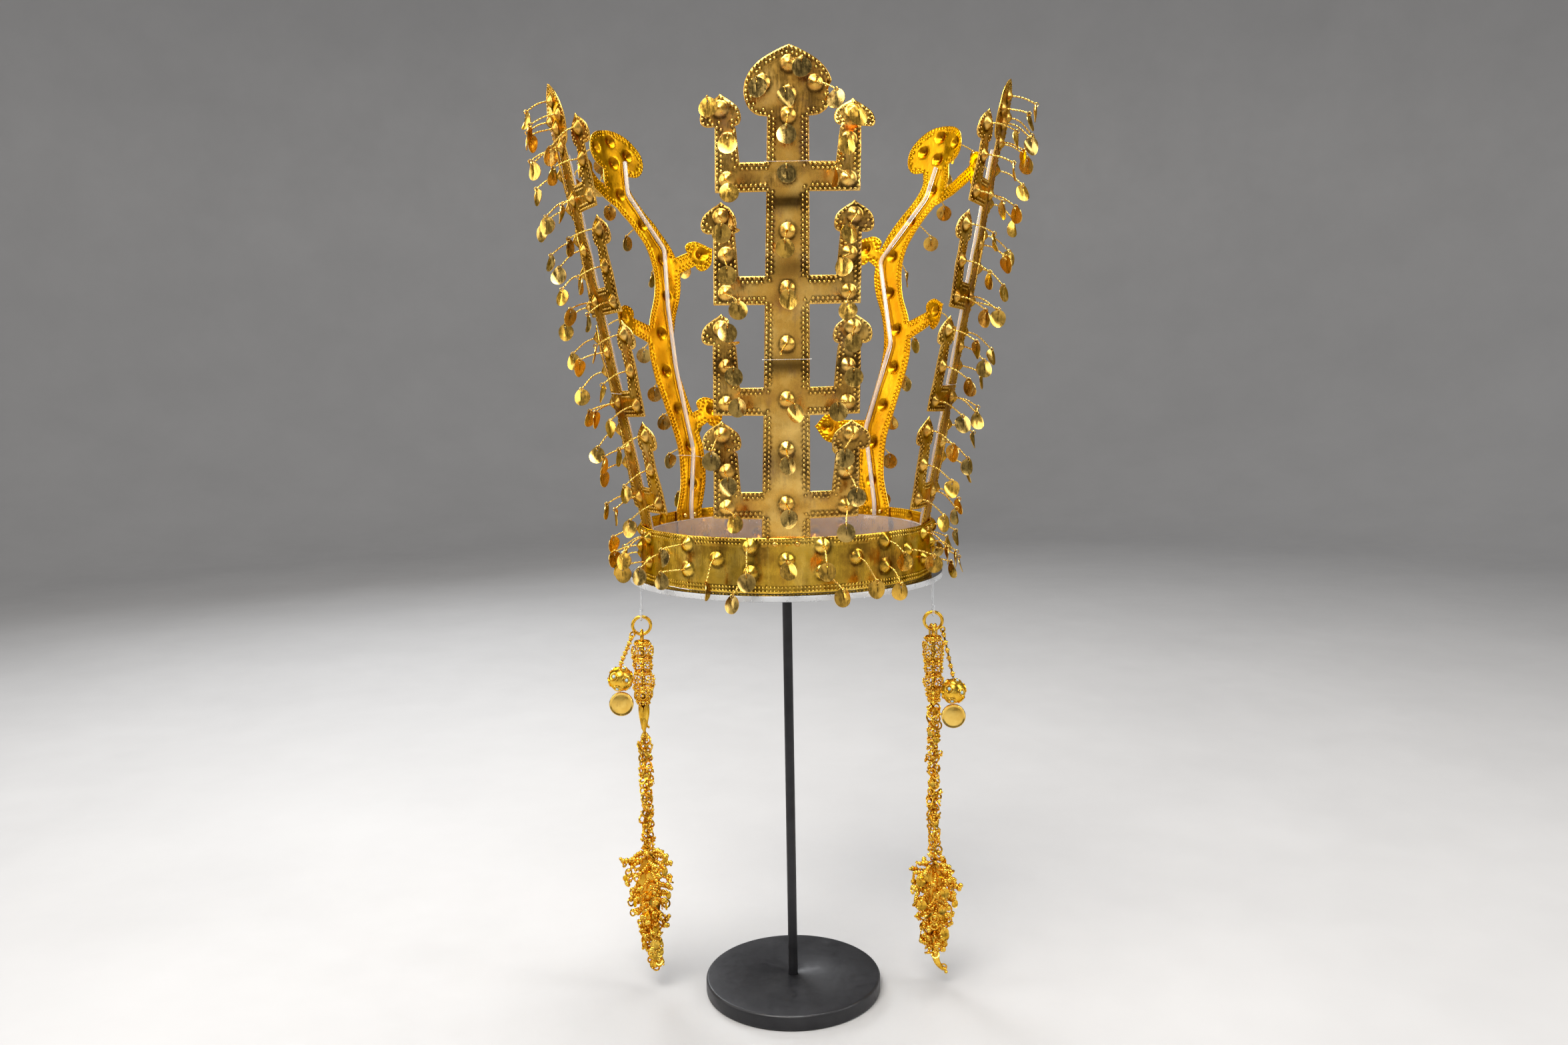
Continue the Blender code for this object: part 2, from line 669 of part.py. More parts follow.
def add_rod(name, clear, parent, bearing, radius, sheet, line):
    """A rod up the inner side of an upright, from the collar's rim."""
    inward = SHEET + FIT + ROD_RADIUS
    path = [sheet.point(line[0][0], FIT - COLLAR_BELOW_BAND_TOP, inward)]
    path += [sheet.point(x, z, inward) for x, z in line]
    place = (radius * math.sin(bearing), -radius * math.cos(bearing), BAND_TOP)
    smooth(finish(name, tube(path, ROD_RADIUS, ROD_SIDES), clear, place, bearing, parent))


TREE_ROD_LINE = ((0.0, 0.001), (0.0, 0.205))
ANTLER_ROD_LINES = {
    "left_antler": (
        (0.0, 0.001), (-0.010, 0.037), (-0.007, 0.090), (-0.009, 0.130),
        (-0.014, 0.166), (0.009, 0.200), (0.007, 0.221),
    ),
    "right_antler": (
        (0.0, 0.001), (-0.015, 0.048), (-0.003, 0.103), (-0.0205, 0.157), (0.011, 0.195), (0.0155, 0.214),
    ),
}


def add_cradle(clear, black, parent):
    """Foot, post, plate and collar."""
    socket = POST_RADIUS + FIT
    foot = bmesh.new()
    wall = [
        ring(foot, Z_AXIS * height, X_AXIS, Y_AXIS, radius, FOOT_SIDES)
        for radius, height in (
            (FOOT_RADIUS, 0),
            (FOOT_RADIUS, FOOT_HEIGHT - FOOT_BEVEL),
            (FOOT_RADIUS - FOOT_BEVEL, FOOT_HEIGHT),
        )
    ]
    hole = [
        ring(foot, Z_AXIS * height, X_AXIS, Y_AXIS, socket, POST_SIDES)
        for height in (FOOT_HEIGHT, FOOT_HEIGHT - POST_IN_FOOT - FIT)
    ]
    loft(foot, wall, capped=False)
    foot.faces.new(wall[0])
    zip_rings(foot, wall[-1], hole[0])
    loft(foot, hole, capped=False)
    foot.faces.new(hole[-1])
    smooth(finish("foot", foot, black, parent=parent))
    low = FOOT_HEIGHT - POST_IN_FOOT
    high = PLATE_BOTTOM - FIT
    shaft = turned(((POST_RADIUS, low), (POST_RADIUS, high)), POST_SIDES)
    smooth(finish("post", shaft, black, parent=parent))
    plate = turned(((PLATE_RADIUS, 0), (PLATE_RADIUS, PLATE_THICKNESS)), PLATE_SIDES)
    smooth(finish("plate", plate, clear, (0, 0, PLATE_BOTTOM), parent=parent))
    inner = COLLAR_RADIUS - COLLAR_WALL
    height = COLLAR_TOP - BAND_BOTTOM
    walls = ((COLLAR_RADIUS, 0), (COLLAR_RADIUS, height), (inner, height), (inner, 0))
    tube_wall = turned(walls, PLATE_SIDES, around=True)
    smooth(finish("collar", tube_wall, clear, (0, 0, BAND_BOTTOM), parent=parent))


def knobbly(shares, radius, top, length, sides):
    """A hanging turned shape whose corners stand out and in by turns, as fused beads do."""
    shape = bmesh.new()
    rings = []
    for row, (share, down) in enumerate(reversed(shares)):
        points = []
        for k in range(sides):
            angle = math.tau * k / sides
            here = radius * share * (1 + KNOBS * (1 if (k + row) % 2 else -1))
            place = (here * math.cos(angle), here * math.sin(angle), top - length * down)
            points.append(shape.verts.new(place))
        rings.append(points)
    loft(shape, rings)
    return shape


def rounded(radius, steps):
    """A ball's profile from its lower to its upper cap."""
    angles = [math.pi * (k + 0.5) / steps - math.pi / 2 for k in range(steps)]
    return [(radius * math.cos(a), radius * math.sin(a)) for a in angles]


def circle(radius, points):
    """Points round a circle in the XZ plane."""
    return [(radius * math.cos(a), 0, radius * math.sin(a)) for a in np.arange(points) * math.tau / points]


def add_hook(name, clear, parent):
    """A clear J-shaped hanger from the plate's underside, which the ring hangs in."""
    bend = RING_WIRE + HOOK_RADIUS + 2 * FIT
    bottom = RING_RADIUS - RING_MIDDLE - RING_WIRE - FIT - HOOK_RADIUS
    path = (
        (0, bend, -FIT - PLATE_THICKNESS - FIT),
        (0, bend, bottom + bend),
        (0, bend / 2, bottom),
        (0, -bend / 2, bottom),
        (0, -bend, bottom + bend),
        (0, -bend, bottom + 3 * bend),
    )
    smooth(finish(name, tube(path, HOOK_RADIUS, THIN_SIDES), clear, parent=parent))


def add_string(name, gold, parent, ball):
    """A string of beads from the ring's outer side down to the ball."""
    side = math.copysign(1, ball.x)
    top = Vector((side * RING_RADIUS, -RING_WIRE - BEAD_RADIUS - FIT, -RING_MIDDLE - RING_RADIUS))
    low = ball + Z_AXIS * (BALL_RADIUS + FIT)
    step = (top - low).length / BEADS
    swell = ((BEAD_WAIST, 0), (1, BEAD_WIDEST))
    profile = [(BEAD_RADIUS * share, step * (k + up)) for k in range(BEADS) for share, up in swell]
    profile.append((BEAD_RADIUS * BEAD_WAIST, step * BEADS))
    beads = turned(profile, THIN_SIDES)
    lay = Z_AXIS.rotation_difference(top - low).to_matrix().to_4x4()
    bmesh.ops.transform(beads, matrix=Matrix.Translation(low) @ lay, verts=beads.verts)
    finish(name, beads, gold, parent=parent)


def add_pendant(name, gold, clear, parent):
    """A hook under the plate's rim and the pieces that hang from it, one below the other."""
    side, ball_out, ball_down, lengths = PENDANTS[name]
    hanger = bpy.data.objects.new(name + "_pendant", None)
    hanger.location = (side * PENDANT_OUT, 0, BAND_BOTTOM)
    hanger.parent = parent
    bpy.context.collection.objects.link(hanger)
    add_hook(name + "_hook", clear, hanger)
    ring_path = [Vector(p) - Z_AXIS * RING_MIDDLE for p in circle(RING_RADIUS, RING_SEGMENTS)]
    smooth(finish(name + "_ring", tube(ring_path, RING_WIRE, THIN_SIDES, closed=True), gold, parent=hanger))

    # The body's loop is linked through the ring
    loop_z = 2 * RING_WIRE + FIT - RING_MIDDLE - RING_RADIUS - LOOP_RADIUS
    quarter = Matrix.Rotation(math.pi / 2, 3, "Z")
    loop_path = [quarter @ Vector(p) + Z_AXIS * loop_z for p in circle(LOOP_RADIUS, LOOP_SEGMENTS)]
    loop_shape = tube(loop_path, LOOP_WIRE, WIRE_SIDES, closed=True)
    loop = finish(name + "_body_loop", loop_shape, gold, parent=hanger)
    top = loop_z - LOOP_RADIUS + LOOP_WIRE
    pieces = (
        ("body", BODY_SHAPE, BODY_RADIUS, HANGING_SIDES),
        ("leaf", LEAF_SHAPE, LEAF_RADIUS, HANGING_SIDES),
        ("chain", CHAIN_SHAPE, CHAIN_RADIUS, HANGING_SIDES),
        ("cluster", CLUSTER_SHAPE, CLUSTER_RADIUS, CLUSTER_SIDES),
    )
    for (piece, shares, radius, sides), length in zip(pieces, lengths):
        made = finish(f"{name}_{piece}", knobbly(shares, radius, top, length, sides), gold, parent=hanger)
        if piece == "body":
            boolean(made, hide(loop), "UNION")
        top -= length + FIT

    ball_at = Vector((side * ball_out, -BALL_FORWARD, -ball_down))
    ball_shape = turned(rounded(BALL_RADIUS, BALL_ROWS), BALL_SIDES)
    smooth(finish(name + "_ball", ball_shape, gold, ball_at, parent=hanger))
    add_string(name + "_beads", gold, hanger, ball_at)
    faces = ((PENDANT_DISC_RADIUS, 0), (PENDANT_DISC_RADIUS, PENDANT_DISC_THICKNESS))
    disc = turned(faces, PENDANT_DISC_SIDES)
    bmesh.ops.transform(disc, matrix=Matrix.Rotation(math.pi / 2, 4, "X"), verts=disc.verts)
    disc_at = ball_at - Z_AXIS * (BALL_RADIUS + FIT + PENDANT_DISC_RADIUS)
    finish(name + "_disc", disc, gold, disc_at, parent=hanger)


def clear_scene():
    for old in list(bpy.data.objects):
        bpy.data.objects.remove(old)


def build():
    clear_scene()
    crown = bpy.data.objects.new("crown", None)
    bpy.context.collection.objects.link(crown)
    gold = material("gold", (0.83, 0.58, 0.20), 1.0, 0.32)
    clear = material("clear_acrylic", (0.93, 0.97, 1.0), 0.0, 0.05, 1.0)
    black = material("black_steel", (0.02, 0.02, 0.022), 0.6, 0.4)

    band = add_headband(gold, crown)
    uprights = [
        add_tree("front_tree", gold, crown, 11, FRONT_TREE_SLANT),
        add_tree("left_tree", gold, crown, 23),
        add_tree("right_tree", gold, crown, 37),
        add_antler("left_antler", gold, crown, 41, 1),
        add_antler("right_antler", gold, crown, 53, -1),
    ]
    add_rivets(band, uprights, gold, crown)
    add_cradle(clear, black, crown)
    for name, (bearing, lean, _) in UPRIGHTS.items():
        if name.endswith("tree"):
            slant = FRONT_TREE_SLANT if name == "front_tree" else 0.0
            sheet = Sheet(lean, tree_curl, slant)
            add_rod(name + "_rod", clear, crown, bearing, TREE_RADIUS, sheet, TREE_ROD_LINE)
        else:
            mirror = 1 if name.startswith("left") else -1
            sheet = Sheet(lean, antler_curl)
            line = [(mirror * x, z) for x, z in ANTLER_ROD_LINES[name]]
            add_rod(name + "_rod", clear, crown, bearing, ANTLER_RADIUS, sheet, line)
    for name in PENDANTS:
        add_pendant(name, gold, clear, crown)


build()
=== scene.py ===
import math

import bpy
import numpy as np
from mathutils import Matrix, Vector
from mathutils.geometry import delaunay_2d_cdt


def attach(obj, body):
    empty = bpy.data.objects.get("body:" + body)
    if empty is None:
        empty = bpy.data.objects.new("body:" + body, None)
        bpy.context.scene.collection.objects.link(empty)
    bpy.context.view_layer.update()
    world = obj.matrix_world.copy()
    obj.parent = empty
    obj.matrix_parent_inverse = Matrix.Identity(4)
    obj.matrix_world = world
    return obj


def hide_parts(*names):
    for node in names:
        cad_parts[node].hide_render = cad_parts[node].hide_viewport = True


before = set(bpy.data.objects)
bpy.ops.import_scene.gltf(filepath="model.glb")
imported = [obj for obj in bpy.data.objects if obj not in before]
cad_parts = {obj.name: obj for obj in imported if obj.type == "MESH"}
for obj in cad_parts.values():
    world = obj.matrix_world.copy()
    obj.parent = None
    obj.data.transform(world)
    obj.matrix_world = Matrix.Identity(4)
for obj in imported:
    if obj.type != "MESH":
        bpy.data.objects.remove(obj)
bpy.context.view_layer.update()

# Sizes of the solids, repeated in metres
SHEET = 0.0006
FIT = 0.0003
FOOT_RADIUS = 0.052
FOOT_HEIGHT = 0.009
POST_RADIUS = 0.00275
POST_SHOWING = 0.2418
POST_IN_FOOT = 0.005
PLATE_RADIUS = 0.090
PLATE_THICKNESS = 0.0033
COLLAR_WALL = 0.002
COLLAR_BELOW_BAND_TOP = 0.0055
COLLAR_RADIUS = 0.0807
ROD_RADIUS = 0.0013
BAND_RADIUS = 0.084
BAND_HEIGHT = 0.0286
BAND_COLUMNS = 28
BAND_SINGLE_HEIGHT = 0.0172
BAND_PAIR_HEIGHTS = (0.0105, 0.0242)
BOSS_RADIUS = 0.0039
BOSS_HEIGHT = 0.0027
WIRE_REACH = 0.0158
DISC_RADIUS = 0.0048
DISC_THICKNESS = 0.00032
STEM_HALF_BOTTOM = 0.0124
STEM_HALF_TOP = 0.010
CROSSBAR_HEIGHT = 0.014
CROSSBAR_BOTTOMS = (0.0100, 0.0633, 0.1188, 0.1737)
CAP_TIPS = (0.0603, 0.1143, 0.1693, 0.2205)
ARM_OUTERS = (0.0373, 0.0373, 0.0368, 0.0358)
ARM_WIDTHS = (0.0140, 0.0135, 0.0125, 0.0120)
ARM_TAPER = 0.0018
CAP_MIDDLE = 0.0331
CAP_WIDTH = 0.020
CAP_HEIGHT = 0.0155
TREE_HEAD_WIDTH = 0.043
TREE_HEAD_HEIGHT = 0.0333
TREE_HEAD_BASE = 0.2093
TREE_HEAD_TIP = TREE_HEAD_BASE + TREE_HEAD_HEIGHT
TREE_BEND_RADIUS = 0.140
FRONT_TREE_SLANT = 0.0208
ANTLER_HALF = 0.0105
ANTLER_HEAD_WIDTH = 0.045
ANTLER_HEAD_HEIGHT = 0.027
ANTLER_HEAD_LEAN = math.radians(9)
ANTLER_BEND_RADIUS = 0.089
ANTLER_FLAT = 0.0195
BRANCH_HALF = 0.0048
ANTLER_LINE = (
    (0.0, 0.0), (-0.008, 0.020), (-0.0095, 0.042), (-0.0055, 0.062), (-0.0005, 0.085), (0.0005, 0.102),
    (-0.0035, 0.119), (-0.011, 0.135), (-0.014, 0.150), (-0.0115, 0.166), (-0.002, 0.181), (0.009, 0.193),
    (0.0155, 0.204), (0.0145, 0.214),
)
BRANCHES = {
    "left_antler": (
        (-1, 0.050, (-0.031, 0.062)),
        (1, 0.106, (0.029, 0.121)),
        (-1, 0.152, (-0.041, 0.163)),
        (1, 0.192, (0.047, 0.210)),
    ),
    "right_antler": (
        (-1, 0.050, (-0.042, 0.048)),
        (1, 0.106, (0.030, 0.122)),
        (-1, 0.152, (-0.033, 0.166)),
        (1, 0.192, (0.057, 0.206)),
    ),
}
# Bearing from the front, positive to the right, then outward lean, distance of the rivets from the middle,
# and distance of the outer face from the headband's axis
UPRIGHTS = {
    "front_tree": (math.radians(0), math.radians(4.4), 0.0058, 0.08164),
    "left_tree": (math.radians(-71), math.radians(11.2), 0.0040, 0.08164),
    "right_tree": (math.radians(74), math.radians(11.2), 0.0058, 0.08164),
    "left_antler": (math.radians(-133), math.radians(12), 0.0040, 0.08191),
    "right_antler": (math.radians(136), math.radians(12), 0.0032, 0.08191),
}
TAB_DEPTH = 0.020
RIVET_RADIUS = 0.0009
RIVET_HEAD_RADIUS = 0.0014
RIVET_HEAD_HEIGHT = 0.0006
RIVET_BELOW_TOP = 0.0030
TREE_ROD_LINE = ((0.0, 0.001), (0.0, 0.205))
ANTLER_ROD_LINES = {
    "left_antler": (
        (0.0, 0.001), (-0.010, 0.037), (-0.007, 0.090), (-0.009, 0.130),
        (-0.014, 0.166), (0.009, 0.200), (0.007, 0.221),
    ),
    "right_antler": (
        (0.0, 0.001), (-0.015, 0.048), (-0.003, 0.103), (-0.0205, 0.157), (0.011, 0.195), (0.0155, 0.214),
    ),
}
PLATE_BOTTOM = FOOT_HEIGHT + POST_SHOWING
BAND_BOTTOM = PLATE_BOTTOM + PLATE_THICKNESS + FIT
BAND_TOP = BAND_BOTTOM + BAND_HEIGHT
COLLAR_TOP = BAND_TOP - COLLAR_BELOW_BAND_TOP
TIERS = tuple(zip(CROSSBAR_BOTTOMS, CAP_TIPS, ARM_OUTERS, ARM_WIDTHS))

# Relief of the sheets
BOSS_FOOT = BOSS_RADIUS * 1.14
BOSS_RINGS = ((1.14, 16), (1.0, 16), (0.86, 16), (0.66, 12), (0.42, 8), (0.18, 5))
GROOVE_DEPTH = 0.00012
WIRE_SINK = 0.0002
NORMAL_STEP = 0.00015
DOT_RADIUS = 0.00064
DOT_HEIGHT = 0.00044
DOT_RINGS = (1.16, 0.62)
DOT_SIDES = 6
BAND_DOT_PITCH = 0.00200
DOT_PITCH = 0.00228
DOT_ROWS = (0.0010, 0.0030)
EDGE_STEP = 0.0011
GRID_PITCH = 0.0016
GRID_OFF_BOSSES = 0.0005
GRID_OFF_DOTS = 0.00105
RIM_ROUND = 0.00012
MOST_DOTS = 6000
DENT_DEPTH = 0.00026
DENT_LENGTHS = (0.033, 0.021, 0.014, 0.025)
RIPPLE_DEPTH = 0.00032
RIPPLE_LENGTHS = (0.017, 0.029, 0.041, 0.012)
STREAK_LENGTHS = (0.007, 0.013, 0.019, 0.031)
LAP_LENGTH = 0.008
LAP_RISE = 0.00030

UP = np.array((0.0, 0.0, 1.0))


# Small helpers for lines and vectors
def unit(vectors):
    return vectors / np.linalg.norm(vectors, axis=-1, keepdims=True)


def around(bearing):
    """The level direction at a bearing from the front."""
    return np.array((math.sin(bearing), -math.cos(bearing), 0.0))


def swung(points, bearing):
    """Points turned about Z by a bearing."""
    c, s = math.cos(bearing), math.sin(bearing)
    x, y, z = points.T
    return np.stack([c * x - s * y, s * x + c * y, z], -1)


def eased(share):
    share = np.clip(share, 0, 1)
    return share * share * (3 - 2 * share)


def sway(k):
    """A steady scatter between -1 and 1."""
    return 2 * ((k * 0.618034) % 1) - 1


def divided(points, step):
    """A line's points, with more between them wherever two are further apart than a step."""
    points = np.asarray(points, float)
    parts = [points[:1]]
    for a, b in zip(points, points[1:]):
        count = max(1, math.ceil(np.linalg.norm(b - a) / step - 1e-6))
        parts.append(a + (b - a) * (np.arange(1, count + 1) / count)[:, None])
    return np.concatenate(parts)


def curved(points, steps=6):
    """A smooth line through points, with that many steps between each two."""
    points = np.asarray(points, float)
    padded = np.concatenate([[2 * points[0] - points[1]], points, [2 * points[-1] - points[-2]]])
    share = (np.arange(steps) / steps)[:, None]
    parts = []
    for a, b, c, d in zip(padded, padded[1:], padded[2:], padded[3:]):
        square = (2 * a - 5 * b + 4 * c - d) * share**2
        cube = (3 * b - a - 3 * c + d) * share**3
        parts.append((2 * b + (c - a) * share + square + cube) / 2)
    return np.concatenate(parts + [points[-1:]])


def nearest(points, others):
    """Each point's distance to the nearest of the others."""
    found = [
        np.sqrt(((part[:, None, :] - others[None, :, :]) ** 2).sum(2).min(1))
        for part in np.array_split(points, max(1, len(points) // 400))
    ]
    return np.concatenate(found)


def enclosed(points, loop):
    """Which points lie inside a closed outline."""
    x, y = points[:, 0, None], points[:, 1, None]
    ax, ay = loop[:, 0], loop[:, 1]
    bx, by = np.roll(ax, -1), np.roll(ay, -1)
    crosses = (ay > y) != (by > y)
    rise = np.where(by == ay, 1.0, by - ay)
    at = ax + (bx - ax) * (y - ay) / rise
    return (crosses & (at > x)).sum(1) % 2 == 1


def waves(flat, seed, lengths, stretch=(1.0, 1.0)):
    """A soft wavy field between about -1 and 1 over flat points, from plane waves of the given lengths."""
    random = np.random.default_rng(seed)
    total = np.zeros(len(flat))
    for length in lengths:
        angle, phase = random.uniform(0, math.tau, 2)
        way = np.array((math.cos(angle) * stretch[0], math.sin(angle) * stretch[1]))
        total += np.sin(flat @ way * math.tau / length + phase)
    return total / math.sqrt(len(lengths)) / 1.4


class Gather:
    """Points and faces of one object. Relief runs from 0, painted shade in a hollow or under a raised part,
    to 1, a rubbed edge or the painted highlight on a raised top.
    """

    def __init__(self):
        self.points, self.reliefs, self.tones, self.faces = [], [], [], []
        self.count = 0

    def add(self, points, faces, look=0, relief=0.5, tone=0.5):
        points = np.asarray(points, float).reshape(-1, 3)
        self.points.append(points)
        self.reliefs.append(np.broadcast_to(np.asarray(relief, float), len(points)))
        self.tones.append(np.broadcast_to(np.asarray(tone, float), len(points)))
        for group in faces:
            self.faces.append((np.asarray(group, int) + self.count, look))
        self.count += len(points)

    def make(self, name, looks, nodes=(), sharp=50):
        loops = np.concatenate([group.reshape(-1) for group, _ in self.faces])
        sizes = np.concatenate([np.full(len(group), group.shape[1]) for group, _ in self.faces])
        look = np.concatenate([np.full(len(group), index) for group, index in self.faces])
        used, loops = np.unique(loops, return_inverse=True)
        points = np.concatenate(self.points)[used]
        mesh = bpy.data.meshes.new(name)
        mesh.vertices.add(len(points))
        mesh.vertices.foreach_set("co", points.astype(np.float32).reshape(-1))
        mesh.loops.add(len(loops))
        mesh.loops.foreach_set("vertex_index", loops.astype(np.int32).reshape(-1))
        mesh.polygons.add(len(sizes))
        mesh.polygons.foreach_set("loop_start", np.concatenate([[0], np.cumsum(sizes)[:-1]]).astype(np.int32))
        mesh.polygons.foreach_set("material_index", look.astype(np.int32))
        mesh.update(calc_edges=True)
        for label, values in (("relief", self.reliefs), ("tone", self.tones)):
            layer = mesh.attributes.new(label, "FLOAT", "POINT")
            layer.data.foreach_set("value", np.concatenate(values)[used].astype(np.float32))
        mesh.shade_smooth()
        mesh.set_sharp_from_angle(angle=math.radians(sharp))
        for material in looks:
            mesh.materials.append(material)
        made = bpy.data.objects.new(name, mesh)
        bpy.context.scene.collection.objects.link(made)
        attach(made, "root")
        if nodes:
            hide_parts(*nodes)
        return made


def ring_faces(rings, sides, around=False, caps=False):
    """Quads between rings that follow each other, and end caps as triangles to two further points."""
    count = rings if around else rings - 1
    row = np.arange(count)[:, None] * sides
    col = np.arange(sides)[None, :]
    after = (col + 1) % sides
    above = (row + sides) % (rings * sides)
    quads = np.stack([row + col, row + after, above + after, above + col], -1).reshape(-1, 4)
    groups = [quads]
    if caps:
        first, last = rings * sides, rings * sides + 1
        col, after = col[0], after[0]
        top = (rings - 1) * sides
        groups.append(np.stack([after, col, np.full(sides, first)], -1))
        groups.append(np.stack([top + col, top + after, np.full(sides, last)], -1))
    return groups


def tube(path, radii, sides, side=None, closed=False, twist=0.0, lobes=None):
    """Points and faces of a tube along a path. Lobes are its section's radius shares, twist its turns."""
    path = np.asarray(path, float)
    count = len(path)
    if closed:
        along = unit(np.roll(path, -1, 0) - np.roll(path, 1, 0))
    else:
        along = unit(np.gradient(path, axis=0))
    if side is None:
        side = np.array((1.0, 0.0, 0.0)) if abs(along[0][0]) < 0.9 else np.array((0.0, 1.0, 0.0))
    sides_along = []
    for direction in along:
        side = side - direction * (side @ direction)
        side = side / np.linalg.norm(side)
        sides_along.append(side)
    across = np.array(sides_along)
    over = np.cross(along, across)
    angles = np.arange(sides) * math.tau / sides
    turn = angles[None, :] + twist * np.linspace(0, 1, count)[:, None] * math.tau
    share = np.ones(sides) if lobes is None else np.asarray(lobes)
    radii = np.broadcast_to(np.asarray(radii, float), count)
    reach = radii[:, None] * share[None, :]
    points = (
        path[:, None, :]
        + (reach * np.cos(turn))[..., None] * across[:, None, :]
        + (reach * np.sin(turn))[..., None] * over[:, None, :]
    )
    points = points.reshape(-1, 3)
    if closed:
        return points, ring_faces(count, sides, around=True)
    return np.concatenate([points, path[[0, -1]]]), ring_faces(count, sides, caps=True)


def circle(centre, radius, first, second, count, start=0.0):
    """Points round a circle in the plane of two unit vectors."""
    angles = start + np.arange(count) * math.tau / count
    return centre + radius * (np.cos(angles)[:, None] * first + np.sin(angles)[:, None] * second)


def hoop(gather, centre, radius, wire, axis, count=18, sides=7, relief=0.6):
    """A round ring of wire about an axis."""
    axis = unit(np.asarray(axis, float))
    first = unit(np.cross(axis, (0.3, 0.5, 0.81)))
    path = circle(centre, radius, first, np.cross(axis, first), count)
    points, faces = tube(path, wire, sides, first, closed=True)
    gather.add(points, faces, 0, relief)


def turned(profile, sides):
    """Points and faces of a shape turned about Z from (radius, height) rows, closed at both ends."""
    profile = np.asarray(profile, float)
    angles = np.arange(sides) * math.tau / sides
    ring = np.stack([np.cos(angles), np.sin(angles), np.zeros(sides)], -1)
    points = ring[None] * profile[:, 0, None, None] + UP * profile[:, 1, None, None]
    ends = UP * profile[[0, -1], 1][:, None]
    return np.concatenate([points.reshape(-1, 3), ends]), ring_faces(len(profile), sides, caps=True)


def round_bead(rows, sides):
    """A small ball of radius 1."""
    angles = np.pi * (np.arange(1, rows + 1) / (rows + 1)) - np.pi / 2
    points, faces = turned(np.stack([np.cos(angles), np.sin(angles)], -1), sides)
    points[-2:] = -UP, UP
    return points, faces


BEAD_POINTS, BEAD_FACES = round_bead(5, 8)


def bead(gather, centre, radius, relief=0.75, look=0, squash=1.0):
    gather.add(BEAD_POINTS * (radius, radius, radius * squash) + centre, BEAD_FACES, look, relief)


# Flat outlines
SMALL_CAP = ((0.34, 0.0), (0.465, 0.09), (0.50, 0.30), (0.43, 0.57), (0.24, 0.78), (0.08, 0.91), (0.0, 1.0))
TREE_HEAD = (
    (0.2326, 0.0), (0.36, 0.03), (0.46, 0.15), (0.50, 0.36),
    (0.46, 0.58), (0.33, 0.78), (0.13, 0.93), (0.0, 1.0),
)
ANTLER_HEAD = (
    (0.2333, 0.0), (0.38, 0.05), (0.475, 0.20), (0.50, 0.42),
    (0.45, 0.66), (0.31, 0.86), (0.14, 0.97), (0.0, 1.0),
)


def bud(neck, way, width, height, shares):
    """A bud's outline from its right side over the tip to its left, each side a smooth line."""
    side = np.array((way[1], -way[0]))
    line = curved(shares, 5)
    right, left = [neck + sign * line[:, :1] * width * side + line[:, 1:] * height * way for sign in (1, -1)]
    return np.concatenate([right, left[::-1][1:]])


def stem_half(height):
    return STEM_HALF_BOTTOM + (STEM_HALF_TOP - STEM_HALF_BOTTOM) * np.maximum(height, 0) / TREE_HEAD_BASE


def closed_up(outline, step=EDGE_STEP):
    """A closed outline whose points are no further apart than a step."""
    outline = np.asarray(outline, float)
    return divided(np.concatenate([outline, outline[:1]]), step)[:-1]


def tree_outline():
    upward = np.array((0.0, 1.0))
    half = STEM_HALF_BOTTOM
    right = [np.array([(half, -TAB_DEPTH), (half, 0.0)])]
    for low, tip, outer, width in TIERS:
        top = low + CROSSBAR_HEIGHT
        base = tip - CAP_HEIGHT
        inner = outer - width
        right.append(np.array([(stem_half(low), low), (outer, low), (outer, base)]))
        right.append(bud(np.array((CAP_MIDDLE, base)), upward, CAP_WIDTH, CAP_HEIGHT, SMALL_CAP))
        right.append(np.array([(inner + ARM_TAPER, base - EDGE_STEP), (inner, top), (stem_half(top), top)]))
    right = np.concatenate(right)
    neck = np.array((0.0, TREE_HEAD_BASE))
    head = bud(neck, upward, TREE_HEAD_WIDTH, TREE_HEAD_HEIGHT, TREE_HEAD)
    left = (right * (-1, 1))[::-1]
    return closed_up(np.concatenate([right, head, left]))


ANTLER_MIDDLE = curved(ANTLER_LINE, 8)


def antler_middle(height):
    return float(np.interp(height, ANTLER_MIDDLE[:, 1], ANTLER_MIDDLE[:, 0]))


def antler_side(side, branches):
    """One side of the antler from foot to neck, with its branches."""
    walk, taken = [], []
    for branch_side, root, middle in branches:
        if branch_side != side:
            continue
        start = np.array((antler_middle(root), root))
        way = unit(np.array(middle) - start)
        rise = way[1] / abs(way[0]) * ANTLER_HALF
        spread = BRANCH_HALF / abs(way[0])
        low, high = root + rise - spread, root + rise + spread
        foot_of, end_of = [np.array((antler_middle(z) + side * ANTLER_HALF, z)) for z in (low, high)]
        across = np.array((-way[1], way[0])) * side * BRANCH_HALF
        neck = np.array(middle) - way * CAP_HEIGHT / 2
        outline = bud(neck, way, CAP_WIDTH, CAP_HEIGHT, SMALL_CAP)
        if side < 0:
            outline = outline[::-1]
        walk.append((low, [foot_of, neck - across, *outline, neck + across, end_of]))
        taken.append((low, high))
    for x, z in ANTLER_MIDDLE[1:-1]:
        if not any(low - 0.002 < z < high + 0.002 for low, high in taken):
            walk.append((z, [np.array((x + side * ANTLER_HALF, z))]))
    return [point for _, points in sorted(walk, key=lambda step: step[0]) for point in points]


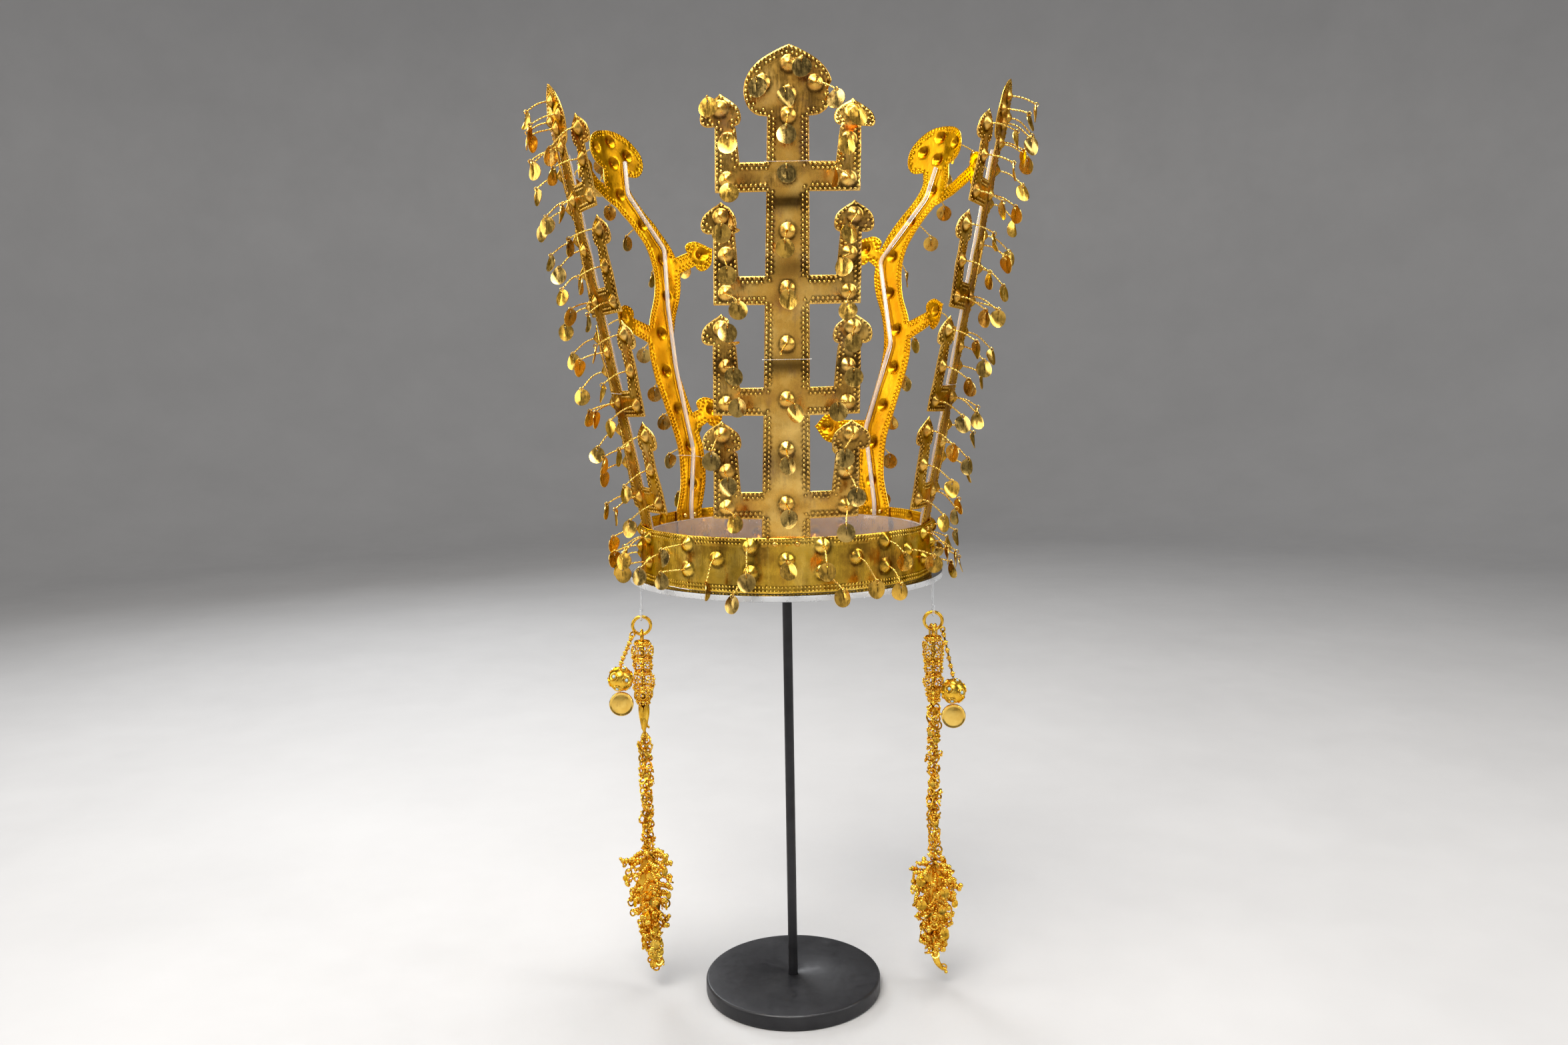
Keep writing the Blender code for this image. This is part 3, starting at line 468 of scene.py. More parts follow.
def antler_outline(branches):
    way = np.array((-math.sin(ANTLER_HEAD_LEAN), math.cos(ANTLER_HEAD_LEAN)))
    neck = np.array(ANTLER_LINE[-1])
    head = bud(neck, way, ANTLER_HEAD_WIDTH, ANTLER_HEAD_HEIGHT, ANTLER_HEAD)
    corners = ((-1, 0), (-1, -TAB_DEPTH), (1, -TAB_DEPTH), (1, 0))
    foot = [np.array((side * ANTLER_HALF, z)) for side, z in corners]
    right, left = antler_side(1, branches), antler_side(-1, branches)
    return closed_up(np.array(foot + right + list(head) + left[::-1]))


def punched(loop, insets, pitch, avoid):
    """Places of the punched dots along lines that run inside an outline."""
    edge = closed_up(loop, 0.0006)
    fine = closed_up(loop, 0.0003)
    along = unit(np.roll(fine, -1, 0) - np.roll(fine, 1, 0))
    inward = np.stack([-along[:, 1], along[:, 0]], -1)
    chosen = np.full((MOST_DOTS, 2), 9.0)
    count = 0
    for inset in insets:
        line = fine + inward * inset
        line = line[(nearest(line, edge) > inset * 0.95) & (nearest(line, avoid) > BOSS_FOOT + DOT_RADIUS)]
        for place in line:
            if np.min(np.hypot(*(chosen[:count + 1] - place).T)) > pitch * 0.97:
                chosen[count] = place
                count += 1
    return chosen[:count]


def lattice(loop, pitch, keep_off, off):
    """Loose points that fill an outline, clear of its edge and of the places to keep off."""
    low, high = loop.min(0), loop.max(0)
    rows = np.arange(low[1], high[1], pitch * 0.87)
    points = []
    for number, z in enumerate(rows):
        xs = np.arange(low[0] + (number % 2) * pitch / 2, high[0], pitch)
        points.append(np.stack([xs, np.full(len(xs), z)], -1))
    points = np.concatenate(points)
    points = points[enclosed(points, loop)]
    points = points[nearest(points, loop) > pitch * 0.55]
    for places, distance in zip(keep_off, off):
        if len(places):
            points = points[nearest(points, places) > distance]
    return points


def flat_ring(middle, radius, count, start=0.0):
    angles = start + np.arange(count) * math.tau / count
    return middle + radius * np.stack([np.cos(angles), np.sin(angles)], -1)


def neighbours(count, first=0):
    """Pairs of points that follow each other round a closed line."""
    return [(first + k, first + (k + 1) % count) for k in range(count)]


def filled(points, edges):
    """Triangles through flat points within closed edges, all turned the same way round."""
    _, _, found, sources, _, _ = delaunay_2d_cdt([Vector(p) for p in points], edges, [], 1, 1e-7)
    faces = np.array([group[0] for group in sources])[np.array(found)]
    a, b, c = points[faces[:, 0]], points[faces[:, 1]], points[faces[:, 2]]
    area = (b[:, 0] - a[:, 0]) * (c[:, 1] - a[:, 1]) - (b[:, 1] - a[:, 1]) * (c[:, 0] - a[:, 0])
    faces[area < 0] = faces[area < 0][:, ::-1]
    return faces[abs(area) > 1e-12]


def add_sheet(gather, surface, loop, bosses, dots, closed=False, dot_share=1.0, painted_shade=0.20):
    """A sheet with bosses and punched dots: outer face, inner face and the rim between them."""
    bosses, dots = np.asarray(bosses), np.asarray(dots)
    rings = []
    for k, middle in enumerate(bosses):
        rings += [flat_ring(middle, BOSS_RADIUS * share, count, share * 5 + k) for share, count in BOSS_RINGS]
    for share in DOT_RINGS:
        reach = DOT_RADIUS * dot_share * share
        rings += [flat_ring(middle, reach, DOT_SIDES, k + 1 - share) for k, middle in enumerate(dots)]
    loose = lattice(loop, GRID_PITCH, (bosses, dots), (BOSS_FOOT + GRID_OFF_BOSSES, GRID_OFF_DOTS))
    flat = np.concatenate([loop] + rings + [bosses, dots, loose])
    faces = filled(flat, neighbours(len(loop)))

    share = nearest(flat, bosses) / BOSS_RADIUS
    beside = np.concatenate([
        np.argmin(np.hypot(*(part[:, None] - bosses[None]).transpose(2, 0, 1)), 1)
        for part in np.array_split(flat, 40)
    ])
    dome = 0.42 * (1 - np.clip(share, 0, 1) ** 2) ** 0.85 + 0.58 * np.exp(-((share / 0.70) ** 2))
    groove = np.exp(-(((share - 1.08) / 0.10) ** 2))
    rise = BOSS_HEIGHT * dome - GROOVE_DEPTH * groove
    # Relief: boss tops lighter, partly as rubbed wear and partly as painted highlight, and the groove round
    # each boss's foot darker as painted shade
    relief = 0.5 + 0.5 * dome - 0.30 * groove
    # The points of the dots: their feet and shoulders come before the bosses' middles, and their peaks after
    first_peak = len(flat) - len(loose) - len(dots)
    first_shoulder = first_peak - len(bosses) - DOT_SIDES * len(dots)
    first_foot = first_shoulder - DOT_SIDES * len(dots)
    foot = slice(first_foot, first_shoulder)
    shoulder = slice(first_shoulder, first_peak - len(bosses))
    peak = slice(first_peak, first_peak + len(dots))
    rise[peak] += DOT_HEIGHT * dot_share
    rise[shoulder] += DOT_HEIGHT * dot_share * 0.78
    # Painted shadow: darker just below each boss, as if lit from above
    below = np.clip((bosses[beside, 1] - flat[:, 1]) / BOSS_RADIUS, -0.2, 1)
    relief -= 0.42 * below * np.exp(-(((share - 0.95) / 0.42) ** 2))
    # Painted highlight on the dots' peaks and shoulders, and painted shade at their feet
    relief[peak] = 0.95
    relief[shoulder] = 0.95
    relief[foot] = painted_shade
    relief[:len(loop)] = 0.8
    # Inner face: painted shade in the hollow backs of the bosses and in the dimples behind the dots, and a
    # lighter rubbed rim
    hollow = 0.5 - 0.42 * dome + 0.1 * groove
    hollow[peak] = 0.30
    hollow[:len(loop)] = 0.8

    if closed:
        left = np.flatnonzero(loop[:, 0] < loop[:, 0].min() + 1e-6)
        swap = np.arange(len(flat))
        for k in np.flatnonzero(loop[:, 0] > loop[:, 0].max() - 1e-6):
            swap[k] = left[np.argmin(abs(loop[left, 1] - loop[k, 1]))]
        faces = swap[faces]
    # Painted shade in the creases of the uprights, and dark streaks up and down the band
    relief -= surface.crease_shade_and_streaks(flat)
    outer = surface.lay(flat, rise)
    inner = surface.lay(flat, rise * 0.92 - SHEET)
    count = len(flat)
    along = unit(np.roll(loop, -1, 0) - np.roll(loop, 1, 0))
    outward = np.stack([along[:, 1], -along[:, 0]], -1)
    middle = surface.lay(loop + outward * RIM_ROUND, np.full(len(loop), -SHEET / 2))
    here = np.arange(len(loop))
    after = np.roll(here, -1)
    if closed:
        level = abs(loop[here, 1] - loop[after, 1]) < 1e-7
        here, after = swap[here[level]], swap[after[level]]
    rim = np.concatenate([
        np.stack([here, 2 * count + here, 2 * count + after, after], -1),
        np.stack([2 * count + here, count + here, count + after, 2 * count + after], -1),
    ])
    base = gather.count
    reliefs = np.concatenate([relief, hollow, np.full(len(loop), 0.9)])
    gather.add(np.concatenate([outer, inner, middle]), [], 0, reliefs)
    for group, look in ((faces, 0), (rim, 0), (faces[:, ::-1] + count, 1)):
        gather.faces.append((group + base, look))


class Upright:
    """The curved surface of one upright: flat points are across and up the sheet, and rise is outward."""

    def __init__(self, name, curl, slant=0.0, folds=(), creases=(), seed=1):
        self.bearing, self.lean, _, self.radius = UPRIGHTS[name]
        self.curl, self.slant, self.folds, self.creases, self.seed = curl, slant, folds, creases, seed
        heights = np.arange(-TAB_DEPTH - 0.004, 0.262, 0.0004)
        angle = self.lean * eased((heights + 0.003) / 0.006)
        for height, amount, width in creases:
            share = (heights - height) / width
            angle = angle + amount * share * np.exp(-share**2)
        step = heights[1] - heights[0]
        self.heights, self.angle = heights, angle
        self.out = (np.cumsum(np.sin(angle)) - np.sin(angle)) * step
        self.rise = heights[0] + (np.cumsum(np.cos(angle)) - np.cos(angle)) * step

    def crease_shade_and_streaks(self, flat):
        """Painted shade that darkens the bends across the sheet."""
        bend_shade = np.zeros(len(flat))
        for height, amount, width in self.creases:
            bend_shade += 4.0 * amount * np.exp(-(((flat[:, 1] - height + width) / (2.2 * width)) ** 2))
        return bend_shade

    def bent(self, flat):
        x, z = flat[:, 0], flat[:, 1]
        angle = np.interp(z, self.heights, self.angle)
        depth = self.curl(x, z)
        across = x + self.slant * np.maximum(z, 0)
        inward = -np.interp(z, self.heights, self.out) + depth * np.cos(angle)
        return np.stack([across, inward, np.interp(z, self.heights, self.rise) + depth * np.sin(angle)], -1)

    def local(self, flat):
        points = self.bent(flat)
        for (x0, x1, z0, z1), start, way, amount, soft in self.folds:
            start, way = np.array(start), unit(np.array(way, float))
            x, z = flat[:, 0], flat[:, 1]
            away = (x - start[0]) * -way[1] + (z - start[1]) * way[0]
            inside = (x > x0) & (x < x1) & (z > z0) & (z < z1) & (away > 0)
            if not inside.any():
                continue
            ends = self.bent(np.stack([start, start + way * 0.001]))
            axis = unit(ends[1] - ends[0])
            turn = amount * eased(away[inside] / soft)[:, None]
            arm = points[inside] - ends[0]
            points[inside] = ends[0] + (
                arm * np.cos(turn)
                + np.cross(axis, arm) * np.sin(turn)
                + axis * (arm @ axis)[:, None] * (1 - np.cos(turn))
            )
        return points

    def placed(self, points):
        return swung(points, self.bearing) + (around(self.bearing) * self.radius + UP * BAND_TOP)

    def lay(self, flat, rise, dents=True):
        flat = np.asarray(flat, float).reshape(-1, 2)
        across = self.local(flat + (NORMAL_STEP, 0)) - self.local(flat - (NORMAL_STEP, 0))
        up = self.local(flat + (0, NORMAL_STEP)) - self.local(flat - (0, NORMAL_STEP))
        normal = unit(np.cross(across, up))
        if dents:
            rise = rise + DENT_DEPTH * (1 + waves(flat, self.seed, DENT_LENGTHS))
        return self.placed(self.local(flat) + normal * np.broadcast_to(rise, len(flat))[:, None])

    def ways(self, flat):
        """The outward, level and across directions at a flat place."""
        out = unit((self.lay(flat, 0.001, dents=False) - self.lay(flat, 0.0, dents=False))[0])
        lean = around(self.bearing) * math.cos(self.lean) - UP * math.sin(self.lean)
        level = unit(np.array((lean[0], lean[1], 0.0)))
        return out, lean, level, np.cross(UP, level)


TREE_BEND_SOFT = 0.00012
ANTLER_BEND_SOFT = 0.00018
ARM_WANDER = 0.0005


def arc_depth(x, radius):
    return x * x / (2 * radius)


def tree_curl(x, z):
    """Depth across a tree: flat stem, arms that follow a wide bend, and a nearly flat head."""
    bend = arc_depth(np.abs(x), TREE_BEND_RADIUS) - arc_depth(stem_half(z), TREE_BEND_RADIUS)
    soft = 0.5 * (bend + np.sqrt(bend**2 + TREE_BEND_SOFT**2))
    on_head = (z > TREE_HEAD_BASE - 0.001) & (np.abs(x) < TREE_HEAD_WIDTH / 2 + 0.0006)
    wander = ARM_WANDER * eased((np.abs(x) - stem_half(z)) / 0.010) * np.sin(z * 61 + np.sign(x) * 2)
    return np.where(on_head, 0.35 * soft, soft + wander)


def antler_curl(x, z):
    bend = arc_depth(np.abs(x), ANTLER_BEND_RADIUS) - arc_depth(ANTLER_FLAT, ANTLER_BEND_RADIUS)
    return 0.5 * (bend + np.sqrt(bend**2 + ANTLER_BEND_SOFT**2))


class Band:
    """The headband's surface: flat points are the distance round it to the right, and the height."""

    def crease_shade_and_streaks(self, flat):
        """Dark streaks up and down the band."""
        return 0.22 * np.clip(waves(flat, 9, STREAK_LENGTHS, (1.0, 0.10)), 0, 1)

    def lay(self, flat, rise):
        flat = np.asarray(flat, float).reshape(-1, 2)
        bearing = flat[:, 0] / BAND_RADIUS
        ripple = RIPPLE_DEPTH * (waves(flat, 5, RIPPLE_LENGTHS, (1.0, 0.16)) - 1.1)
        since = (flat[:, 0] - SEAM) % (math.tau * BAND_RADIUS)
        lap = LAP_RISE * (1 - eased((since - LAP_LENGTH / 2) / (LAP_LENGTH / 2)))
        lap = np.where(since < LAP_LENGTH, lap, 0)
        radius = BAND_RADIUS + np.broadcast_to(rise, len(flat)) + ripple + lap
        return np.stack([radius * np.sin(bearing), -radius * np.cos(bearing), BAND_BOTTOM + flat[:, 1]], -1)


SEAM = -BAND_RADIUS * math.pi / BAND_COLUMNS
BAND = Band()


# The hanging discs
LOBES = (1.0, 0.84, 0.50, 0.84, 1.0, 0.84, 0.50, 0.84)
WIRE_HALF = 0.00050
WIRE_STEPS = 34
WIRE_TURNS = 3.6
TURNS_LENGTH = 0.014
KINK_SIDE = 0.0006
KINK_UP = 0.0005
LOOP_HALF = 0.0010
LOOP_WIRE = 0.00027
HOLE_UP = 0.70
DISC_SIDES = 26
SLIT_SIDES = 8
SLIT_HALF = (0.07, 0.20)


def disc_template():
    """A flat disc of radius 1 with an upright slit near its top: points and triangles."""
    rim = flat_ring(np.zeros(2), 1.0, DISC_SIDES)
    second = flat_ring(np.zeros(2), 0.86, 22, 0.1)
    slit = flat_ring(np.zeros(2), 1.0, SLIT_SIDES) * SLIT_HALF + (0.0, HOLE_UP - 0.06)
    fold = np.array([(x, z) for x in (-0.11, 0.0, 0.11) for z in (0.36, 0.12, -0.12, -0.36)])
    third = np.concatenate([flat_ring(np.zeros(2), 0.58, 12, 0.2), fold, [(-0.33, 0.0), (0.33, 0.0)]])
    third = third[nearest(third, slit) > 0.12]
    points = np.concatenate([rim, slit, second, third])
    faces = filled(points, neighbours(DISC_SIDES) + neighbours(SLIT_SIDES, DISC_SIDES))
    inside_slit = ((faces >= DISC_SIDES) & (faces < DISC_SIDES + SLIT_SIDES)).all(1)
    return points, faces[~inside_slit]


DISC_POINTS, DISC_FACES = disc_template()


def disc(gather, hang, level, radius, yaw, swing, bends, look, tone):
    """A thin bent disc that hangs by its slit. Yaw turns it about Z, and swing lifts its foot outward."""
    c, s = math.cos(yaw), math.sin(yaw)
    out = np.array((c * level[0] - s * level[1], s * level[0] + c * level[1], 0.0))
    across = np.cross(UP, out)
    up = UP * math.cos(swing) + out * -math.sin(swing)
    face_out = np.cross(across, up)
    x, z = DISC_POINTS[:, 0], DISC_POINTS[:, 1]
    dish, saddle, crease, wave = bends
    bend = dish * (x**2 + z**2) + saddle * x * z + crease * np.abs(x) + wave * np.sin(4 * x + 2 * z)
    edge = np.where(np.hypot(x, z) > 0.95, 1.25, 1.0)
    middle = hang - up * (HOLE_UP * radius)
    flat = middle + radius * (x[:, None] * across + z[:, None] * up + bend[:, None] * face_out)
    half = face_out * (DISC_THICKNESS / 2)
    points = np.concatenate([flat + half * edge[:, None], flat - half * edge[:, None]])
    count = len(flat)
    here, after = np.array(neighbours(DISC_SIDES)).T
    rim = np.stack([here, here + count, after + count, after], -1)
    here, after = np.array(neighbours(SLIT_SIDES, DISC_SIDES)).T
    slit = np.stack([here, after, after + count, here + count], -1)
    # Painted shade down the fold below the slit, and the rim lighter, as a rubbed edge and painted highlight
    fold_shade = np.exp(-((x / SLIT_HALF[0]) ** 2)) * (z > -0.3)
    relief = np.where(np.hypot(x, z) > 0.95, 0.95, 0.5 - 0.42 * fold_shade)
    gather.add(points, [DISC_FACES, DISC_FACES[:, ::-1] + count, rim, slit], look, np.tile(relief, 2), tone)


def spangle(gather, start, out, end, level, number, face_on=False, edge_on=False, bare=False):
    """A twisted wire from a boss, its end loop, and the disc that hangs in it."""
    length = np.linalg.norm(end - start)
    across = np.cross(UP, level)
    toward = unit(end - start)
    share = np.linspace(0, 1, WIRE_STEPS)[:, None]
    kink = across * KINK_SIDE * sway(5 * number) + UP * KINK_UP * sway(7 * number + 2)
    first = start + out * length * 0.42 + kink
    second = end - toward * length * 0.34 + UP * length * 0.07
    path = (
        start * (1 - share) ** 3 + 3 * first * share * (1 - share) ** 2
        + 3 * second * share**2 * (1 - share) + end * share**3
    )
    points, faces = tube(path, WIRE_HALF, 8, across, twist=WIRE_TURNS * length / TURNS_LENGTH, lobes=LOBES)
    # Painted highlight on the crests of the twisted wire and painted shade in the grooves between them
    twist_shading = np.tile(np.where(np.array(LOBES) > 0.8, 0.72, 0.22), WIRE_STEPS)
    gather.add(points, faces, 0, np.concatenate([twist_shading, [0.5, 0.5]]), 0.5 + 0.3 * sway(number))
    tip = unit(path[-1] - path[-3])
    upward = unit(UP - tip * (UP @ tip))
    centre = end + tip * LOOP_HALF
    points, faces = tube(circle(centre, LOOP_HALF, tip, upward, 9), LOOP_WIRE, 5, tip, closed=True)
    gather.add(points, faces, 0, 0.7)
    if bare:
        return
    if edge_on:
        yaw = 1.35 * (1 if sway(number) > 0 else -1)
    else:
        yaw = (0.62 if face_on else 1.0) * sway(3 * number + 1)
    swing = 0.10 + 0.14 * sway(11 * number)
    bends = (0.16 * sway(number + 4), 0.26 * sway(2 * number), -0.16 - 0.12 * sway(5 * number), 0.030)
    hang = centre - UP * LOOP_HALF
    disc(gather, hang, level, DISC_RADIUS, yaw, swing, bends, 1, 0.5 + 0.5 * sway(13 * number + 1))


# Where the photograph shows the discs of the front, in its pixels, and the camera that it was taken with
PHOTO_MIDDLE = np.array((1176.0, 784.0))
PHOTO_FOCUS = 1948.0
PHOTO_ROLL = math.radians(0.96)
PHOTO_PITCH = math.radians(5.62)
EYE = np.array((-0.0007, -0.728, BAND_BOTTOM + 0.1155))


def seen_at(pixel, through, level):
    """The point of the upright plane through a given point that the photograph shows at a pixel."""
    a, b = np.array(pixel, float) - PHOTO_MIDDLE
    c, s = math.cos(PHOTO_ROLL), math.sin(PHOTO_ROLL)
    x, y = c * a - s * b, s * a + c * b
    cp, sp = math.cos(PHOTO_PITCH), math.sin(PHOTO_PITCH)
    ray = np.array((x, cp * PHOTO_FOCUS - sp * y, -sp * PHOTO_FOCUS - cp * y))
    return EYE + ray * ((through - EYE) @ level) / (ray @ level)


# Materials
class Look:
    """A material whose colour, roughness and bump come from nodes."""

    def __init__(self, name):
        self.material = bpy.data.materials.new(name)
        self.material.use_nodes = True
        self.tree = self.material.node_tree
        self.shader = self.tree.nodes["Principled BSDF"]

    def put(self, socket, value):
        if isinstance(value, bpy.types.NodeSocket):
            self.tree.links.new(value, socket)
        else:
            socket.default_value = value

    def node(self, kind, inputs=(), **settings):
        made = self.tree.nodes.new(kind)
        for label, value in settings.items():
            setattr(made, label, value)
        for socket, value in inputs:
            self.put(made.inputs[socket], value)
        return made

    def noise(self, scale, detail=4.0, rough=0.55, stretch=(1.0, 1.0, 1.0)):
        place = self.node("ShaderNodeTexCoord").outputs["Object"]
        mapped = self.node("ShaderNodeMapping", (("Vector", place), ("Scale", stretch))).outputs["Vector"]
        inputs = (("Vector", mapped), ("Scale", scale), ("Detail", detail), ("Roughness", rough))
        return self.node("ShaderNodeTexNoise", inputs).outputs["Fac"]

    def ramp(self, value, stops):
        made = self.node("ShaderNodeValToRGB", (("Fac", value),))
        elements = made.color_ramp.elements
        elements[1].position = stops[-1][0]
        elements[0].position = stops[0][0]
        for at, _ in stops[1:-1]:
            elements.new(at)
        for element, (_, colour) in zip(elements, stops):
            element.color = (*colour, 1)
        return made.outputs["Color"]

    def mix(self, share, first, second):
        made = self.node("ShaderNodeMix", ((0, share),), data_type="RGBA")
        for index, value in ((6, first), (7, second)):
            self.put(made.inputs[index], value if isinstance(value, bpy.types.NodeSocket) else (*value, 1))
        return made.outputs[2]

    def span(self, value, low, high, start, end):
        inputs = ((0, value), (1, low), (2, high), (3, start), (4, end))
        return self.node("ShaderNodeMapRange", inputs).outputs[0]

    def attribute(self, label):
        return self.node("ShaderNodeAttribute", attribute_name=label).outputs["Fac"]

    def bump(self, *layers):
        """Bump from (height, distance in metres, strength) layers, one over the other."""
        normal = None
        for height, distance, strength in layers:
            inputs = [("Height", height), ("Distance", distance), ("Strength", strength)]
            if normal is not None:
                inputs.append(("Normal", normal))
            normal = self.node("ShaderNodeBump", inputs).outputs["Normal"]
        self.put(self.shader.inputs["Normal"], normal)


def gold_look(name, colours, painted_shade, stain, rough, patch=42.0, grain=(1.0, 1.0, 0.16), toned=None, worn_and_highlight=None):
    """Old sheet gold: patches of colour, stains, painted shade in hollows and under raised parts, brighter
    rubbed edges and painted highlights on raised tops, and fine scratches.
    """
    look = Look(name)
    dull, warm, bright = colours
    colour = look.ramp(look.noise(patch, 5, 0.62), ((0.33, dull), (0.50, warm), (0.68, bright)))
    if toned:
        colour = look.mix(look.span(look.attribute("tone"), 0.15, 0.9, 0.0, 0.92), colour, toned)
    stains = look.noise(patch * 2.3, 6, 0.68, (1.0, 1.0, 0.5))
    colour = look.mix(look.span(stains, 0.54, 0.70, 0.0, 0.62), colour, stain)
    relief = look.attribute("relief")
    # Low relief takes the painted shade colour: grooves, the undersides of bosses, the feet of the dots,
    # bends and the cores of the pendants
    colour = look.mix(look.span(relief, 0.08, 0.48, 0.86, 0.0), colour, painted_shade)
    # High relief takes a lighter colour, for rubbed edges and for painted highlights on boss tops, dot peaks
    # and beads
    colour = look.mix(look.span(relief, 0.60, 0.96, 0.0, 0.60), colour, worn_and_highlight or bright)
    look.put(look.shader.inputs["Base Color"], colour)
    look.shader.inputs["Metallic"].default_value = 1.0
    look.shader.inputs["Specular Tint"].default_value = (0.80, 0.50, 0.18, 1)
    scratches = look.noise(900.0, 3, 0.6, grain)
    cloud = look.noise(patch * 4, 4, 0.6)
    mixed = look.node("ShaderNodeMath", ((0, scratches), (1, cloud)), operation="MULTIPLY").outputs[0]
    look.put(look.shader.inputs["Roughness"], look.span(mixed, 0.16, 0.36, *rough))
    look.bump((scratches, 0.00004, 0.35), (look.noise(260.0, 3, 0.5), 0.00012, 0.55))
    return look.material


def clear_look(name, colour, rough, ior=1.49, through=1.0):
    """Clear acrylic or nylon with a faint haze of fine scratches in its gloss."""
    look = Look(name)
    look.shader.inputs["Base Color"].default_value = (*colour, 1)
    look.shader.inputs["Transmission Weight"].default_value = through
    look.shader.inputs["IOR"].default_value = ior
    look.put(look.shader.inputs["Roughness"], look.span(look.noise(420.0, 3, 0.6), 0.35, 0.7, *rough))
    look.bump((look.noise(90.0, 2, 0.5), 0.00005, 0.15))
    return look.material


def plain_look(name, first, second, scale, rough, metallic=0.0):
    """A quiet surface of two near colours with a fine grain."""
    look = Look(name)
    colour = look.ramp(look.noise(scale, 5, 0.6), ((0.3, first), (0.7, second)))
    look.put(look.shader.inputs["Base Color"], colour)
    look.shader.inputs["Metallic"].default_value = metallic
    gloss = look.span(look.noise(scale * 5, 3, 0.5), 0.3, 0.7, *rough)
    look.put(look.shader.inputs["Roughness"], gloss)
    look.bump((look.noise(scale * 9, 3, 0.5), 0.00005, 0.4))
    return look.material


OUTER_GOLD = gold_look(
    "outer_gold", ((0.48, 0.235, 0.045), (0.77, 0.43, 0.080), (0.96, 0.62, 0.17)),
    painted_shade=(0.035, 0.012, 0.002), stain=(0.30, 0.165, 0.095), rough=(0.20, 0.40), worn_and_highlight=(0.96, 0.60, 0.11),
)
BAND_GOLD = gold_look(
    "band_gold", ((0.52, 0.27, 0.03), (0.82, 0.49, 0.05), (0.98, 0.66, 0.13)),
    painted_shade=(0.035, 0.012, 0.002), stain=(0.38, 0.17, 0.03), rough=(0.17, 0.34), patch=36.0,
)
INNER_GOLD = gold_look(
    "inner_gold", ((0.46, 0.20, 0.004), (0.62, 0.295, 0.006), (0.80, 0.42, 0.012)),
    painted_shade=(0.16, 0.05, 0.002), stain=(0.42, 0.18, 0.010), rough=(0.26, 0.42), patch=30.0,
)
WIRE_GOLD = gold_look(
    "wire_gold", ((0.64, 0.36, 0.06), (0.86, 0.53, 0.10), (0.98, 0.70, 0.20)),
    painted_shade=(0.09, 0.035, 0.006), stain=(0.42, 0.23, 0.06), rough=(0.20, 0.36), patch=90.0,
)
DISC_GOLD = gold_look(
    "disc_gold", ((0.24, 0.165, 0.05), (0.42, 0.28, 0.08), (0.68, 0.45, 0.13)),
    painted_shade=(0.03, 0.012, 0.003), stain=(0.16, 0.10, 0.035), rough=(0.18, 0.38), patch=120.0,
    toned=(0.94, 0.54, 0.08),
)
PENDANT_GOLD = gold_look(
    "pendant_gold", ((0.64, 0.33, 0.025), (0.88, 0.50, 0.045), (1.0, 0.68, 0.11)),
    painted_shade=(0.07, 0.024, 0.003), stain=(0.38, 0.18, 0.02), rough=(0.18, 0.34), patch=110.0,
    grain=(1.0, 1.0, 1.0),
)
MIRROR_GOLD = gold_look(
    "mirror_gold", ((0.60, 0.34, 0.05), (0.82, 0.50, 0.09), (0.96, 0.66, 0.16)),
    painted_shade=(0.10, 0.045, 0.006), stain=(0.40, 0.21, 0.04), rough=(0.08, 0.18), patch=60.0,
)
CLEAR = clear_look("clear_acrylic", (0.94, 0.97, 1.0), (0.015, 0.06))
CLEAR_COLLAR = clear_look("clear_collar", (0.98, 0.94, 0.92), (0.04, 0.10), through=0.85)
CLEAR_ROD = clear_look("clear_rod", (0.96, 0.98, 1.0), (0.05, 0.14), through=0.72)
CLEAR_EDGE = clear_look("clear_sawn_edge", (0.94, 0.97, 1.0), (0.25, 0.40), through=0.55)
NYLON = clear_look("nylon_thread", (0.97, 0.96, 0.92), (0.10, 0.22), 1.53, 0.6)
BLACK = plain_look("black_steel", (0.012, 0.012, 0.014), (0.03, 0.03, 0.033), 60.0, (0.34, 0.50), 0.4)
STONE = plain_look("pale_glass", (0.30, 0.50, 0.62), (0.62, 0.72, 0.74), 700.0, (0.10, 0.22))

# Where each front disc hangs in the photograph, in its pixels: four by four the arms' and the stem's bosses,
# from the lowest arm up, then the head's
FRONT_TREE_DISCS = (
    (1098, 832), (1089, 775), (1065, 735), (1272, 845), (1287, 790), (1271, 730), (1184, 825), (1182, 742),
    (1104, 655), (1097, 607), (1088, 540), (1261, 660), (1283, 607), (1282, 553), (1191, 663), (1172, 583),
    (1115, 503), (1088, 450), (1079, 385), (1274, 503), (1269, 437), (1279, 385), (1183, 488), (1178, 408),
    (1091, 323), (1089, 250), (1060, 190), (1255, 300), (1274, 250), (1290, 205), (1180, 293), (1180, 232),
    (1201, 130), (1135, 162), (1255, 178), (1178, 178),
)
FRONT_TREE_EDGE_ON = (27,)
FRONT_TREE_BARE = (15,)
# The headband's front columns: the lower disc and, where there are two, the upper one
FRONT_BAND_DISCS = {
    -3: ((990, 920), (990, 885)),
    -2: ((1057, 935),),
    -1: ((1098, 955), (1118, 922)),
    0: ((1182, 905),),
    1: ((1265, 945), (1242, 905)),
    2: ((1318, 932),),
    3: ((1355, 935), (1360, 890)),
}
FRONT_BAND_EDGE_ON = {(-2, 0), (3, 1)}
STEERED_BACK = 0.0034
MOST_SIDE = 0.0085
LEAST_DOWN = -0.0035
MOST_DOWN = 0.0115


